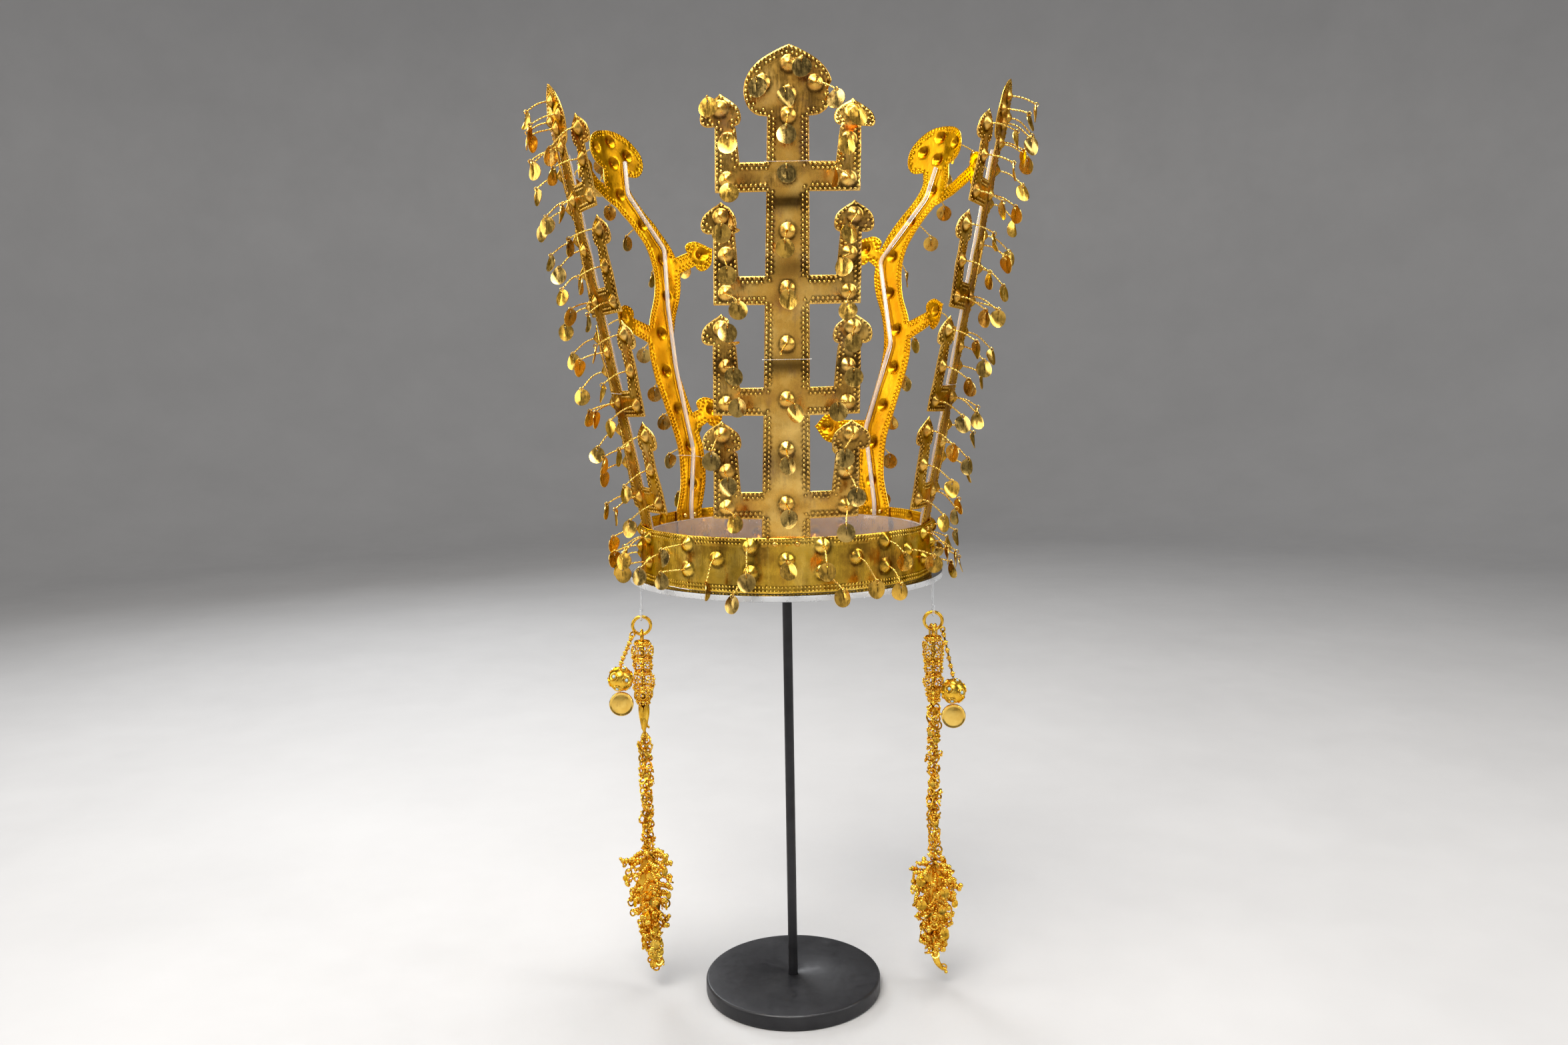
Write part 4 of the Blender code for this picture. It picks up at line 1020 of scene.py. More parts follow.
def steered(root, out, level, pixel):
    """Where a wire ends so that its disc hangs where the photograph shows it."""
    across = np.cross(UP, level)
    end = root + out * (WIRE_REACH - STEERED_BACK)
    middle = seen_at(pixel, end, level)
    side = float(np.clip((middle - end) @ across, -MOST_SIDE, MOST_SIDE))
    down = float(np.clip((end - middle) @ UP - DISC_RADIUS, LEAST_DOWN, MOST_DOWN))
    return end + across * side - UP * down


ARM_BOSS_UP = (0.0060, 0.0246)
CAP_BOSS_BELOW_TIP = 0.0070
STEM_BOSS_UP = (0.008, 0.036)
HEAD_BOSSES = ((0.0, 0.0087), (-0.0125, 0.0175), (0.0130, 0.0180), (0.0, 0.0230))
ANTLER_BOSS_HEIGHTS = (0.016, 0.040, 0.064, 0.088, 0.112, 0.136, 0.160, 0.182, 0.200)
ANTLER_HEAD_BOSSES = ((-0.012, 0.012), (0.0, 0.006), (0.0, 0.020), (0.014, 0.014))


def tree_bosses():
    places = []
    for low, tip, outer, width in TIERS:
        for side in (-1, 1):
            arm = side * (outer - width / 2)
            places += [(arm, low + up) for up in ARM_BOSS_UP]
            places.append((side * CAP_MIDDLE, tip - CAP_BOSS_BELOW_TIP))
        places += [(0.0, low + up) for up in STEM_BOSS_UP]
    return places + [(x, TREE_HEAD_TIP - down) for x, down in HEAD_BOSSES]


def antler_bosses(branches):
    places = [(float(np.interp(z, *np.array(ANTLER_LINE).T[::-1])), z) for z in ANTLER_BOSS_HEIGHTS]
    neck_x, neck_z = ANTLER_LINE[-1]
    places += [(neck_x + x, neck_z + z) for x, z in ANTLER_HEAD_BOSSES]
    return places + [middle for _, _, middle in branches]


# How far the wires' ends wander to the side, hang down, and fall short of their full reach
DRIFT_SIDE = 0.0045
DRIFT_DOWN = 0.0040
DRIFT_DOWN_SPREAD = 0.0030
REACH_SPREAD = 0.07
UPRIGHT_SHORT = 0.0006


def drift(seed, k):
    return DRIFT_SIDE * sway(seed + k), DRIFT_DOWN + DRIFT_DOWN_SPREAD * sway(seed + 3 * k)


def wire_reach(k):
    return WIRE_REACH * (1 - REACH_SPREAD * (1 + sway(k)))


def hang_spangles(name, surface, bosses, seed, discs=(), edge_on=(), bare=()):
    gather = Gather()
    for number, place in enumerate(bosses):
        flat = np.array([place])
        out, lean, level, across = surface.ways(flat)
        start = surface.lay(flat, BOSS_HEIGHT - WIRE_SINK)[0]
        root = surface.lay(flat, 0.0, dents=False)[0]
        if discs:
            end = steered(root, out, level, discs[number])
        else:
            side, down = drift(seed, number)
            reach = wire_reach(seed + 7 * number) - UPRIGHT_SHORT
            end = root + lean * reach + across * side - UP * down
        spangle(gather, start, out, end, level, seed + number, bool(discs), number in edge_on, number in bare)
    gather.make(name + "_spangles", (WIRE_GOLD, DISC_GOLD))


def add_upright(name, outline, bosses, seed, **spangles):
    dots = punched(outline, DOT_ROWS, DOT_PITCH, np.asarray(bosses))
    gather = Gather()
    add_sheet(gather, SURFACES[name], outline, bosses, dots)
    gather.make(name + "_sheet", (OUTER_GOLD, INNER_GOLD), (name,), 72)
    hang_spangles(name, SURFACES[name], bosses, seed, **spangles)


ROD_BEND = 0.0025
ROD_STEP = 0.004
THREAD_RADIUS = 0.00016
THREAD_OUT = 0.00060
THREAD_PAST_EDGE = 0.0003
THREAD_PAST_ROD = 0.00025
THREAD_TURN = 0.0016


def add_rod(name, line):
    """A clear rod up the inner side of an upright, rounded at the bends of its line."""
    line = ((line[0][0], FIT - COLLAR_BELOW_BAND_TOP), *line)
    rounded = [line[0]]
    for before, here, after in zip(line, line[1:], line[2:]):
        before, here, after = map(np.array, (before, here, after))
        near, far = [
            here + unit(end - here) * min(ROD_BEND, np.linalg.norm(end - here) / 3) for end in (before, after)
        ]
        rounded += [near, (near + far) / 4 + here / 2, far]
    rounded.append(line[-1])
    inward = SHEET + FIT + ROD_RADIUS
    path = SURFACES[name].lay(divided(np.array(rounded), ROD_STEP), -inward, dents=False)
    gather = Gather()
    gather.add(*tube(path, ROD_RADIUS, 12))
    gather.make(name + "_clear_rod", (CLEAR_ROD,), (name + "_rod",))


def add_thread(name, surface, height, half, tilt=0.0, middle=0.0):
    """A thin nylon thread round the sheet and its rod."""
    front = [(x, height + tilt * (x - middle)) for x in np.linspace(middle - half, middle + half, 9)]
    path = [surface.lay([place], THREAD_OUT)[0] for place in front]
    side = half + THREAD_PAST_EDGE
    behind = -(SHEET + FIT + 2 * ROD_RADIUS + THREAD_PAST_ROD)
    back = (
        (side, -THREAD_PAST_EDGE), (THREAD_TURN, behind), (0.0, behind - 0.0001), (-THREAD_TURN, behind),
        (-side, -THREAD_PAST_EDGE),
    )
    for x, rise in back:
        path.append(surface.lay([(middle + x, height + tilt * x)], rise)[0])
    gather = Gather()
    gather.add(*tube(path, THREAD_RADIUS, 6, UP, closed=True))
    gather.make(name, (NYLON,))


# The five uprights. A fold has the box of what it turns, a point and the direction of its line, its angle and
# how soft it is. A crease across the sheet has its height, amount and width
FRONT_FOLDS = (
    ((0.0190, 0.0470, 0.2040, 0.2250), (0.0190, 0.2046), (1.0, 0.0), math.radians(-30), 0.0012),
    ((-0.0300, -0.0215, 0.1005, 0.1160), (-0.0300, 0.1000), (0.0, -1.0), math.radians(66), 0.0015),
    ((-0.0295, -0.0215, 0.1560, 0.1710), (-0.0295, 0.1550), (0.0, -1.0), math.radians(38), 0.0018),
)
FRONT_CREASES = (
    (0.0905, 0.10, 0.0022), (0.1705, 0.12, 0.0018), (0.0420, 0.06, 0.0030), (0.1400, 0.06, 0.0030),
)
SIDE_CREASES = ((0.0700, 0.05, 0.0030), (0.1300, 0.06, 0.0026))
SURFACES = {
    "front_tree": Upright("front_tree", tree_curl, FRONT_TREE_SLANT, FRONT_FOLDS, FRONT_CREASES, 1),
    "left_tree": Upright("left_tree", tree_curl, creases=SIDE_CREASES, seed=2),
    "right_tree": Upright("right_tree", tree_curl, creases=SIDE_CREASES, seed=3),
    "left_antler": Upright("left_antler", antler_curl, seed=4),
    "right_antler": Upright("right_antler", antler_curl, seed=6),
}
TREE_LOOP = tree_outline()
add_upright(
    "front_tree", TREE_LOOP, tree_bosses(), 11,
    discs=FRONT_TREE_DISCS, edge_on=FRONT_TREE_EDGE_ON, bare=FRONT_TREE_BARE,
)
add_upright("left_tree", TREE_LOOP, tree_bosses(), 23)
add_upright("right_tree", TREE_LOOP, tree_bosses(), 37)
for name in ("front_tree", "left_tree", "right_tree"):
    add_rod(name, TREE_ROD_LINE)
for name, seed, mirror in (("left_antler", 41, 1), ("right_antler", 53, -1)):
    loop = antler_outline(BRANCHES[name]) * (mirror, 1)
    bosses = np.array(antler_bosses(BRANCHES[name])) * (mirror, 1)
    add_upright(name, loop if mirror > 0 else loop[::-1], bosses, seed)
    add_rod(name, [(mirror * x, z) for x, z in ANTLER_ROD_LINES[name]])
# The threads' uprights, heights, half lengths across, tilts and middles
for name, upright, *place in (
    ("front_thread_low", "front_tree", 0.0915, 0.0122),
    ("front_thread_high", "front_tree", 0.1880, 0.0112),
    ("left_tree_thread", "left_tree", 0.0760, 0.0125),
    ("right_tree_thread", "right_tree", 0.0780, 0.0125),
    ("left_antler_thread", "left_antler", 0.0330, 0.0115, 0.15, -0.0090),
):
    add_thread(name, SURFACES[upright], *place)


# The headband
def add_headband():
    turn = math.tau * BAND_RADIUS
    end = SEAM + turn
    loop = closed_up([(SEAM, 0.0), (end, 0.0), (end, BAND_HEIGHT), (SEAM, BAND_HEIGHT)])
    column_width = turn / BAND_COLUMNS
    bosses, columns = [], []
    for column in range(BAND_COLUMNS):
        for k, height in enumerate(BAND_PAIR_HEIGHTS if column % 2 else (BAND_SINGLE_HEIGHT,)):
            bosses.append((column * column_width, height))
            columns.append((column if column < BAND_COLUMNS / 2 else column - BAND_COLUMNS, k))
    bosses = np.array(bosses)
    count = round(turn / BAND_DOT_PITCH)
    along = SEAM + (np.arange(count) + 0.5) * turn / count
    rows = (DOT_ROWS[0], DOT_ROWS[1], BAND_HEIGHT - DOT_ROWS[1], BAND_HEIGHT - DOT_ROWS[0])
    dots = np.concatenate([np.stack([along, np.full(count, height)], -1) for height in rows])
    dots = dots[nearest(dots, bosses) > BOSS_FOOT + DOT_RADIUS]
    gather = Gather()
    add_sheet(gather, BAND, loop, bosses, dots, closed=True, dot_share=0.82, painted_shade=0.30)
    gather.make("headband_sheet", (BAND_GOLD, INNER_GOLD), ("headband",), 72)

    gather = Gather()
    for number, (place, (column, k)) in enumerate(zip(bosses, columns)):
        out = around(place[0] / BAND_RADIUS)
        start = BAND.lay([place], BOSS_HEIGHT - WIRE_SINK)[0]
        root = out * BAND_RADIUS * math.cos(math.pi / BAND_COLUMNS) + UP * (BAND_BOTTOM + place[1])
        in_front = column in FRONT_BAND_DISCS
        if in_front:
            end = steered(root, out, out, FRONT_BAND_DISCS[column][k])
        else:
            side, down = drift(5, number)
            end = root + out * wire_reach(3 + 7 * number) + np.cross(UP, out) * side - UP * down
        spangle(gather, start, out, end, out, 5 + number, in_front, (column, k) in FRONT_BAND_EDGE_ON)
    gather.make("headband_spangles", (WIRE_GOLD, DISC_GOLD))


add_headband()


# Rivets, each with a low dome inside and outside
RIVET_DOME = ((0.45, 0.92), (0.80, 0.62), (1.0, 0.18), (1.0, 0.0))


def add_rivets():
    dome = RIVET_HEAD_HEIGHT + 2 * FIT
    for name, (bearing, _, spread, radius) in UPRIGHTS.items():
        for number, across in enumerate((-spread, spread), 1):
            outside = math.sqrt(BAND_RADIUS**2 - across**2) - FIT
            inside = radius - SHEET
            inner = [(RIVET_HEAD_RADIUS * a, inside - dome * b) for a, b in RIVET_DOME]
            outer = [(RIVET_HEAD_RADIUS * a, outside + dome * b) for a, b in reversed(RIVET_DOME)]
            points, faces = turned(inner + [(RIVET_RADIUS, inside), (RIVET_RADIUS, outside)] + outer, 14)
            local = np.stack([points[:, 0] + across, -points[:, 2], points[:, 1] - RIVET_BELOW_TOP], -1)
            gather = Gather()
            gather.add(swung(local, bearing) + UP * BAND_TOP, faces, 0, 0.7)
            gather.make(f"{name}_domed_rivet_{number}", (WIRE_GOLD,), (f"{name}_rivet_{number}",))


add_rivets()


# The clear plate and collar, the post and the foot
PLATE_SOFT = 0.0005
COLLAR_SOFT = 0.0004
FOOT_SOFT = 0.0015
POST_SOFT = 0.0003
SOCKET_SOFT = 0.0006


def add_turned(name, profile, sides, material, node, around_hole=False, base=0.0):
    points, faces = turned(profile, sides)
    if around_hole:
        points, faces = points[:-2], ring_faces(len(profile), sides, around=True)
    gather = Gather()
    gather.add(points + UP * base, faces)
    return gather.make(name, (material,), (node,), 40)


def rounded_edge(radius, low, high, soft, steps=4):
    """Rows from a lower to an upper rounded edge."""
    rows = []
    for centre, start in ((low + soft, -math.pi / 2), (high - soft, 0.0)):
        for k in range(steps + 1):
            angle = start + math.pi / 2 * k / steps
            rows.append((radius - soft + soft * math.cos(angle), centre + soft * math.sin(angle)))
    return rows


def add_stand():
    plate_rows = rounded_edge(PLATE_RADIUS, 0, PLATE_THICKNESS, PLATE_SOFT)
    plate = add_turned("clear_plate", plate_rows, 160, CLEAR, "plate", base=PLATE_BOTTOM)
    plate.data.materials.append(CLEAR_EDGE)
    for face in plate.data.polygons:
        face.material_index = int(abs(face.normal.z) < 0.8)
    outside = rounded_edge(COLLAR_RADIUS, 0, COLLAR_TOP - BAND_BOTTOM, COLLAR_SOFT, 3)
    mirrored = [(2 * COLLAR_RADIUS - COLLAR_WALL - r, z) for r, z in outside[::-1]]
    add_turned("clear_collar", outside + mirrored, 140, CLEAR_COLLAR, "collar", True, BAND_BOTTOM)
    socket = POST_RADIUS + FIT / 2
    foot_rows = rounded_edge(FOOT_RADIUS, 0, FOOT_HEIGHT, FOOT_SOFT, 6) + [
        (socket + SOCKET_SOFT, FOOT_HEIGHT), (socket, FOOT_HEIGHT - 0.0005),
        (socket, FOOT_HEIGHT - POST_IN_FOOT - FIT),
    ]
    add_turned("round_foot", foot_rows, 120, BLACK, "foot")
    post_rows = rounded_edge(POST_RADIUS, FOOT_HEIGHT - POST_IN_FOOT, PLATE_BOTTOM - FIT, POST_SOFT, 3)
    add_turned("black_post", post_rows, 28, BLACK, "post")


add_stand()


# The pendants
PENDANT_OUT = 0.085
HOOK_RADIUS = 0.0007
RING_MIDDLE = 0.0325
RING_RADIUS = 0.0052
RING_WIRE = 0.0010
LOOP_RADIUS = 0.0035
LOOP_WIRE = 0.0008
BALL_RADIUS = 0.0075
BALL_FORWARD = 0.0122
BEAD_RADIUS = 0.0016
BEADS = 6
PENDANT_DISC_RADIUS = 0.0070
PENDANT_DISC_HALF = 0.00040
SMALL_HOOP = 0.0021
SMALL_WIRE = 0.00042
GRANULE = 0.00058
CORE_WIRE = 0.0011
SPRIG_WIRE = 0.00046
SPRIG_BEADS = (0.00085, 0.00150)
CHAIN_CORE = 0.00055
CHAIN_END = 0.0012
CHAIN_STEP = (0.0029, 0.0037)
CHAIN_HOOPS = (0.00170, 0.00255)
CHAIN_WIRE = 0.00056
CHAIN_BEADS = (0.00052, 0.00088)
CHAIN_DISC = 0.0016
CHAIN_REACH = 0.0049
PETAL_ROWS = 17
PETAL_COLUMNS = 11
PETAL_THICKNESS = 0.00045
# Side, distance out and down of the ball, and the lengths of body, leaf, chain and cluster
PENDANTS = {
    "left": (-1, 0.0115, 0.0610, (0.0360, 0.0225, 0.0657, 0.0720)),
    "right": (1, 0.0100, 0.0714, (0.0330, 0.0080, 0.0930, 0.0700)),
}
# Rows of the openwork bodies from the top down: kind, radius and height
BODY_ROWS = {
    "left": (
        ("beads", 0.0048, 0.0030), ("rings", 0.0064, 0.0062), ("beads", 0.0060, 0.0026),
        ("rings", 0.0056, 0.0056), ("beads", 0.0050, 0.0026), ("rings", 0.0066, 0.0062),
        ("beads", 0.0064, 0.0030), ("rings", 0.0052, 0.0050), ("beads", 0.0040, 0.0018),
    ),
    "right": (
        ("beads", 0.0050, 0.0028), ("rings", 0.0062, 0.0056), ("rings", 0.0060, 0.0054),
        ("beads", 0.0058, 0.0026), ("rings", 0.0054, 0.0054), ("beads", 0.0046, 0.0026),
        ("rings", 0.0060, 0.0058), ("beads", 0.0044, 0.0028),
    ),
}
# The left leaf's petals: bearing, share of the leaf's length, and width
LEAF_PETALS = ((-0.9, 0.62, 0.0050), (0.75, 0.66, 0.0046), (2.4, 0.6, 0.0050), (3.9, 0.62, 0.0048))
# The right leaf's two rows of beads, and the bearings of its petals
BUD_ROWS = (("beads", 0.0042, 0.0030), ("beads", 0.0036, 0.0028))
BUD_PETALS = (0.0, 2.1, 4.2)
# How far the clusters reach out, as (depth, reach)
CLUSTER_REACH = np.array((
    (0.0, 0.35), (0.05, 0.93), (0.12, 0.98), (0.30, 0.86), (0.45, 0.70), (0.58, 0.60), (0.72, 0.40),
    (0.84, 0.30), (1.0, 0.10),
))
CLUSTER_RADIUS = 0.0164
CLUSTER_SPRIGS = 112
CLUSTER_CURL = 0.0035
GOLDEN_ANGLE = 2.39996
BUSH_HOOPS = (0.0016, 0.0024)
BUSH_WIRE = 0.00055
BUSH_DISCS = (0.0020, 0.0031)
BUSH_BEADS = (0.0009, 0.0016)
# The mother leaf's halves: length as a share of the cluster's, and width
MOTHER_LEAF = ((0.74, 0.0135), (0.70, 0.0125))
# The curved tail's line, to the side and down, and its radii
TAIL_LINE = ((0.0, 0.0), (0.0002, 0.010), (0.0010, 0.0165), (0.0036, 0.0205), (0.0066, 0.0225))
TAIL_RADII = (0.0025, 0.0019, 0.0009)
# The rings round the ball's studs: share of the ball's radius, own radius, wire, and corners round and across
STUD_RINGS = ((0.905, 0.00225, 0.00048, 24, 7), (0.940, 0.00140, 0.00034, 18, 6))
STONE_RADIUS = 0.00100
# The small rings at the bodies' tops
LEFT_NECK_RING = (0.0034, 0.0006)
RIGHT_NECK_LOOP = (0.0045, 0.0020)
RIGHT_NECK_WIRE = 0.00062
NECK_OUT = 0.0012
NECK_SIDE = 0.0016
LEFT_LEAF_CORE = 0.0008
RIGHT_LEAF_CORE = 0.0010
LEAF_BEADS = (0.0006, 0.0009)
STRING_WIRE = 0.0006
FORWARD = np.array((0.0, -1.0, 0.0))
SIDEWAYS = np.array((1.0, 0.0, 0.0))


def granules(gather, centre, radius, count, start=0.0):
    """A level ring of tiny beads."""
    for place in circle(centre, radius, SIDEWAYS, FORWARD, count, start):
        bead(gather, place, GRANULE, 0.8)


def petal(gather, top, hang, face, length, width, bow, rib=0.10):
    """A thin bowed leaf with a raised rib, hanging from its top along a direction."""
    hang, face = unit(hang), unit(face - hang * (face @ unit(hang)))
    across = np.cross(hang, face)
    down = np.linspace(0, 1, PETAL_ROWS)[:, None]
    side = np.linspace(-1, 1, PETAL_COLUMNS)[None, :]
    arch = np.sin(math.pi * down)
    wide = width / 2 * (0.10 + 0.90 * np.sin(math.pi * down**0.75) ** 0.8)
    ridge = rib * width * np.exp(-((side / 0.16) ** 2)) * arch
    cup = -0.22 * width * side**2 * arch
    rise = ridge + cup + bow * length * arch + 0.02 * width * np.sin(side * 7 + down * 9)
    flat = (
        top + (down * length)[..., None] * hang + (side * wide)[..., None] * across + rise[..., None] * face
    ).reshape(-1, 3)
    rows, columns = PETAL_ROWS, PETAL_COLUMNS
    row, col = np.meshgrid(np.arange(rows - 1), np.arange(columns - 1), indexing="ij")
    start = (row * columns + col).reshape(-1)
    quads = np.stack([start, start + 1, start + columns + 1, start + columns], -1)
    edge = np.concatenate([
        np.arange(columns), np.arange(1, rows) * columns + columns - 1,
        (rows - 1) * columns + np.arange(columns - 2, -1, -1), np.arange(rows - 2, 0, -1) * columns,
    ])
    after = np.roll(edge, -1)
    count = len(flat)
    rim = np.stack([edge, edge + count, after + count, after], -1)
    points = np.concatenate([flat + face * PETAL_THICKNESS / 2, flat - face * PETAL_THICKNESS / 2])
    relief = 0.55 + 0.35 * np.exp(-((side / 0.2) ** 2)) - 0.25 * abs(side) + 0 * down
    gather.add(points, [quads[:, ::-1], quads + count, rim[:, ::-1]], 0, np.tile(relief.reshape(-1), 2))


def sprig(gather, root, way, length, droop, beads, rng):
    """A short curved wire set with beads, and where it ends."""
    share = np.linspace(0, 1, 7)[:, None]
    aside = unit(np.cross(way, UP) + 1e-6) * rng.uniform(-0.25, 0.25) * length
    path = root + way * length * share - UP * droop * length * share**2 + aside * np.sin(math.pi * share)
    gather.add(*tube(path, SPRIG_WIRE, 6), relief=0.45)
    for at in np.linspace(0.40, 1.0, beads):
        step = min(int(at * 6), 5)
        place = path[step] + (path[step + 1] - path[step]) * (at * 6 - step)
        bead(gather, place, rng.uniform(*SPRIG_BEADS), rng.uniform(0.6, 0.9))
    return path[-1]


def openwork(gather, top, length, rows, rng):
    """A hanging cage of small rings and granules round a thin core."""
    # The core's low relief gives it painted shade inside the cage
    gather.add(*tube([top, top - UP * length], CORE_WIRE, 8), relief=0.2)
    at = 0.0
    for kind, radius, height in rows:
        middle = top - UP * (at + height / 2)
        if kind == "rings":
            rings_row(gather, middle, radius, height, rng)
        else:
            beads_row(gather, middle, radius, height, rng)
        at += height


def rings_row(gather, middle, radius, height, rng):
    """Six upright rings side by side with granules between and upon them."""
    turn = rng.uniform(0, 1)
    for k in range(6):
        angle = turn + math.tau * k / 6
        out = around(angle)
        place = middle + out * (radius - SMALL_WIRE) + UP * rng.uniform(-0.0003, 0.0003)
        axis = out + UP * rng.uniform(-0.2, 0.2)
        hoop(gather, place, min(SMALL_HOOP, height * 0.44), SMALL_WIRE, axis, 16, 6)
        between = around(angle + math.pi / 6) * radius
        for up in (-0.40, -0.12, 0.16, 0.42):
            bead(gather, middle + between * (1 - 0.25 * abs(up)) + UP * up * height, GRANULE, 0.85)
        bead(gather, place + out * 0.0004, GRANULE * 1.2, 0.9)
        if k % 2:
            bead(gather, place + UP * SMALL_HOOP, GRANULE * 1.1, 0.9)
            bead(gather, place - UP * SMALL_HOOP, GRANULE * 1.1, 0.9)


def beads_row(gather, middle, radius, height, rng):
    """Two level hoops with a ring of granules between them."""
    for up in (-0.35, 0.35):
        hoop(gather, middle + UP * up * height, radius * 0.86, SMALL_WIRE * 1.1, UP, 22, 6)
    count = max(8, round(radius / 0.0006 * 3.0))
    granules(gather, middle, radius * 0.93, count, rng.uniform(0, 1))
    for _ in range(4):
        out = around(rng.uniform(0, math.tau))
        bead(gather, middle + out * radius + UP * rng.uniform(-0.4, 0.4) * height, GRANULE * 1.4, 0.9)


def chain_of_hoops(gather, top, length, rng):
    """A loose stack of little hoops, beads and discs round a thin wire."""
    # The core wire's low relief gives it painted shade among the hoops
    gather.add(*tube([top + UP * 0.0004, top - UP * (length + 0.0004)], CHAIN_CORE, 6), relief=0.25)
    at = CHAIN_END
    turn = rng.uniform(0, math.tau)
    while at < length - CHAIN_END:
        middle = top - UP * at
        for k in range(3):
            out = around(turn + k * math.tau / 3 + rng.uniform(-0.4, 0.4))
            reach = rng.uniform(0.30, 0.62) * CHAIN_REACH
            axis = out * rng.uniform(0.2, 1) + UP * rng.uniform(-0.7, 0.7)
            axis = axis + np.cross(UP, out) * rng.uniform(-0.8, 0.8)
            place = middle + out * reach + UP * rng.uniform(-0.0008, 0.0008)
            hoop(gather, place, rng.uniform(*CHAIN_HOOPS), CHAIN_WIRE, axis, 14, 6, rng.uniform(0.5, 0.8))
            if rng.random() < 0.75:
                for _ in range(rng.integers(1, 4)):
                    nudge = rng.uniform(-1, 1, 3) * (0.0009, 0.0009, 0.0012)
                    size = rng.uniform(*CHAIN_BEADS)
                    bead(gather, place + out * 0.0011 + nudge, size, rng.uniform(0.6, 0.95))
            if rng.random() < 0.14:
                hang = place + out * CHAIN_DISC
                gather.add(*tube([middle, hang], 0.00035, 5), relief=0.4)
                bends = (0.1, 0.0, -0.1, 0.0)
                disc(gather, hang, out, CHAIN_DISC, rng.uniform(-0.6, 0.6), 0.2, bends, 0, 0.6)
        turn += 0.9
        at += rng.uniform(*CHAIN_STEP)


def ragged_cluster(gather, name, top, length, rng):
    """A ridged mother leaf almost hidden in a bush of beaded wires, hoops and small discs."""
    left = name == "left"
    curl = CLUSTER_CURL if left else 0.0
    leaf_top = top - UP * 0.003
    for face, aside, (long, wide) in zip((FORWARD, -FORWARD), (0.02, 0.0), MOTHER_LEAF):
        hang = -UP + SIDEWAYS * aside
        petal(gather, leaf_top + face * 0.0015, hang, face, length * long, wide, 0.05, 0.16)
    shares = np.linspace(0, 0.97 if left else 0.80, 14)[:, None]
    spine = top - UP * length * shares + SIDEWAYS * curl * shares**3
    # The spine's low relief gives it painted shade inside the bush
    gather.add(*tube(spine, np.linspace(0.0013, 0.0007, 14), 7), relief=0.3)
    for k in range(CLUSTER_SPRIGS):
        depth = (k + rng.uniform(0, 1)) / CLUSTER_SPRIGS * (1.0 if left else 0.78)
        reach = CLUSTER_RADIUS * np.interp(depth, *CLUSTER_REACH.T)
        out = around(k * GOLDEN_ANGLE + rng.uniform(-0.3, 0.3))
        root = top - UP * length * depth + SIDEWAYS * curl * depth**3 + out * 0.0006
        way = unit(out + UP * rng.uniform(-0.25, 0.35))
        far = reach * rng.uniform(0.62, 0.97)
        end = sprig(gather, root, way, far, rng.uniform(0.0, 0.45), 3 + (far > 0.007) + (far > 0.010), rng)
        kind = rng.random()
        if kind < 0.42:
            axis = unit(rng.normal(size=3))
            size = rng.uniform(*BUSH_HOOPS)
            hoop(gather, end - UP * 0.0012, size, BUSH_WIRE, axis, 14, 6, rng.uniform(0.5, 0.85))
        elif kind < 0.66:
            size, yaw = rng.uniform(*BUSH_DISCS), rng.uniform(-0.7, 0.7)
            disc(gather, end - UP * 0.0002, out, size, yaw, 0.15, (0.12, 0.0, -0.10, 0.0), 0, 0.7)
        else:
            for _ in range(3):
                place = end + rng.uniform(-1, 1, 3) * 0.0013
                bead(gather, place, rng.uniform(*BUSH_BEADS), rng.uniform(0.6, 0.9))
    if left:
        for k in range(7):
            place = spine[-1] - UP * 0.0012 * k / 3 + SIDEWAYS * 0.0007 * k
            bead(gather, place, 0.0010 - 0.00006 * k, 0.85)
    else:
        curved_tail(gather, top - UP * length * 0.66)


def curved_tail(gather, start):
    """The thick wire that curls out sideways below the right cluster."""
    path = curved([start + SIDEWAYS * aside - UP * down for aside, down in TAIL_LINE], 6)
    radii = np.interp(np.linspace(0, 1, len(path)), (0, 0.5, 1), TAIL_RADII)
    gather.add(*tube(path, radii, 12), relief=0.6)
    for k in range(7):
        bead(gather, path[-1 - 2 * k] + UP * 0.0012 * sway(k) - FORWARD * 0.0010, 0.00085, 0.85)
    hoop(gather, path[-4] + UP * 0.0010, 0.0018, 0.0005, FORWARD, 14, 6)
    bead(gather, path[-1] - UP * 0.0012, 0.0011, 0.9)


def studded_ball(gather, centre):
    """A smooth ball with a ring and a stone at each of twelve even places."""
    rows = [math.pi * (k + 0.5) / 20 - math.pi / 2 for k in range(20)]
    profile = [(0.94 * BALL_RADIUS * math.cos(a), 0.94 * BALL_RADIUS * math.sin(a)) for a in rows]
    points, faces = turned(profile, 32)
    gather.add(points + centre, faces, 0, 0.55)
    golden = (1 + math.sqrt(5)) / 2
    places = [(0, a, b * golden) for a in (-1, 1) for b in (-1, 1)]
    places += [(y, z, x) for x, y, z in places] + [(z, x, y) for x, y, z in places]
    turn = Matrix.Rotation(0.30, 3, "Y") @ Matrix.Rotation(-0.28, 3, "X")
    for place in places:
        out = unit(np.array(turn @ Vector(place)))
        for share, radius, wire, count, sides in STUD_RINGS:
            hoop(gather, centre + out * BALL_RADIUS * share, radius, wire, out, count, sides, 0.85)
        bead(gather, centre + out * BALL_RADIUS * 0.93, STONE_RADIUS, look=1)


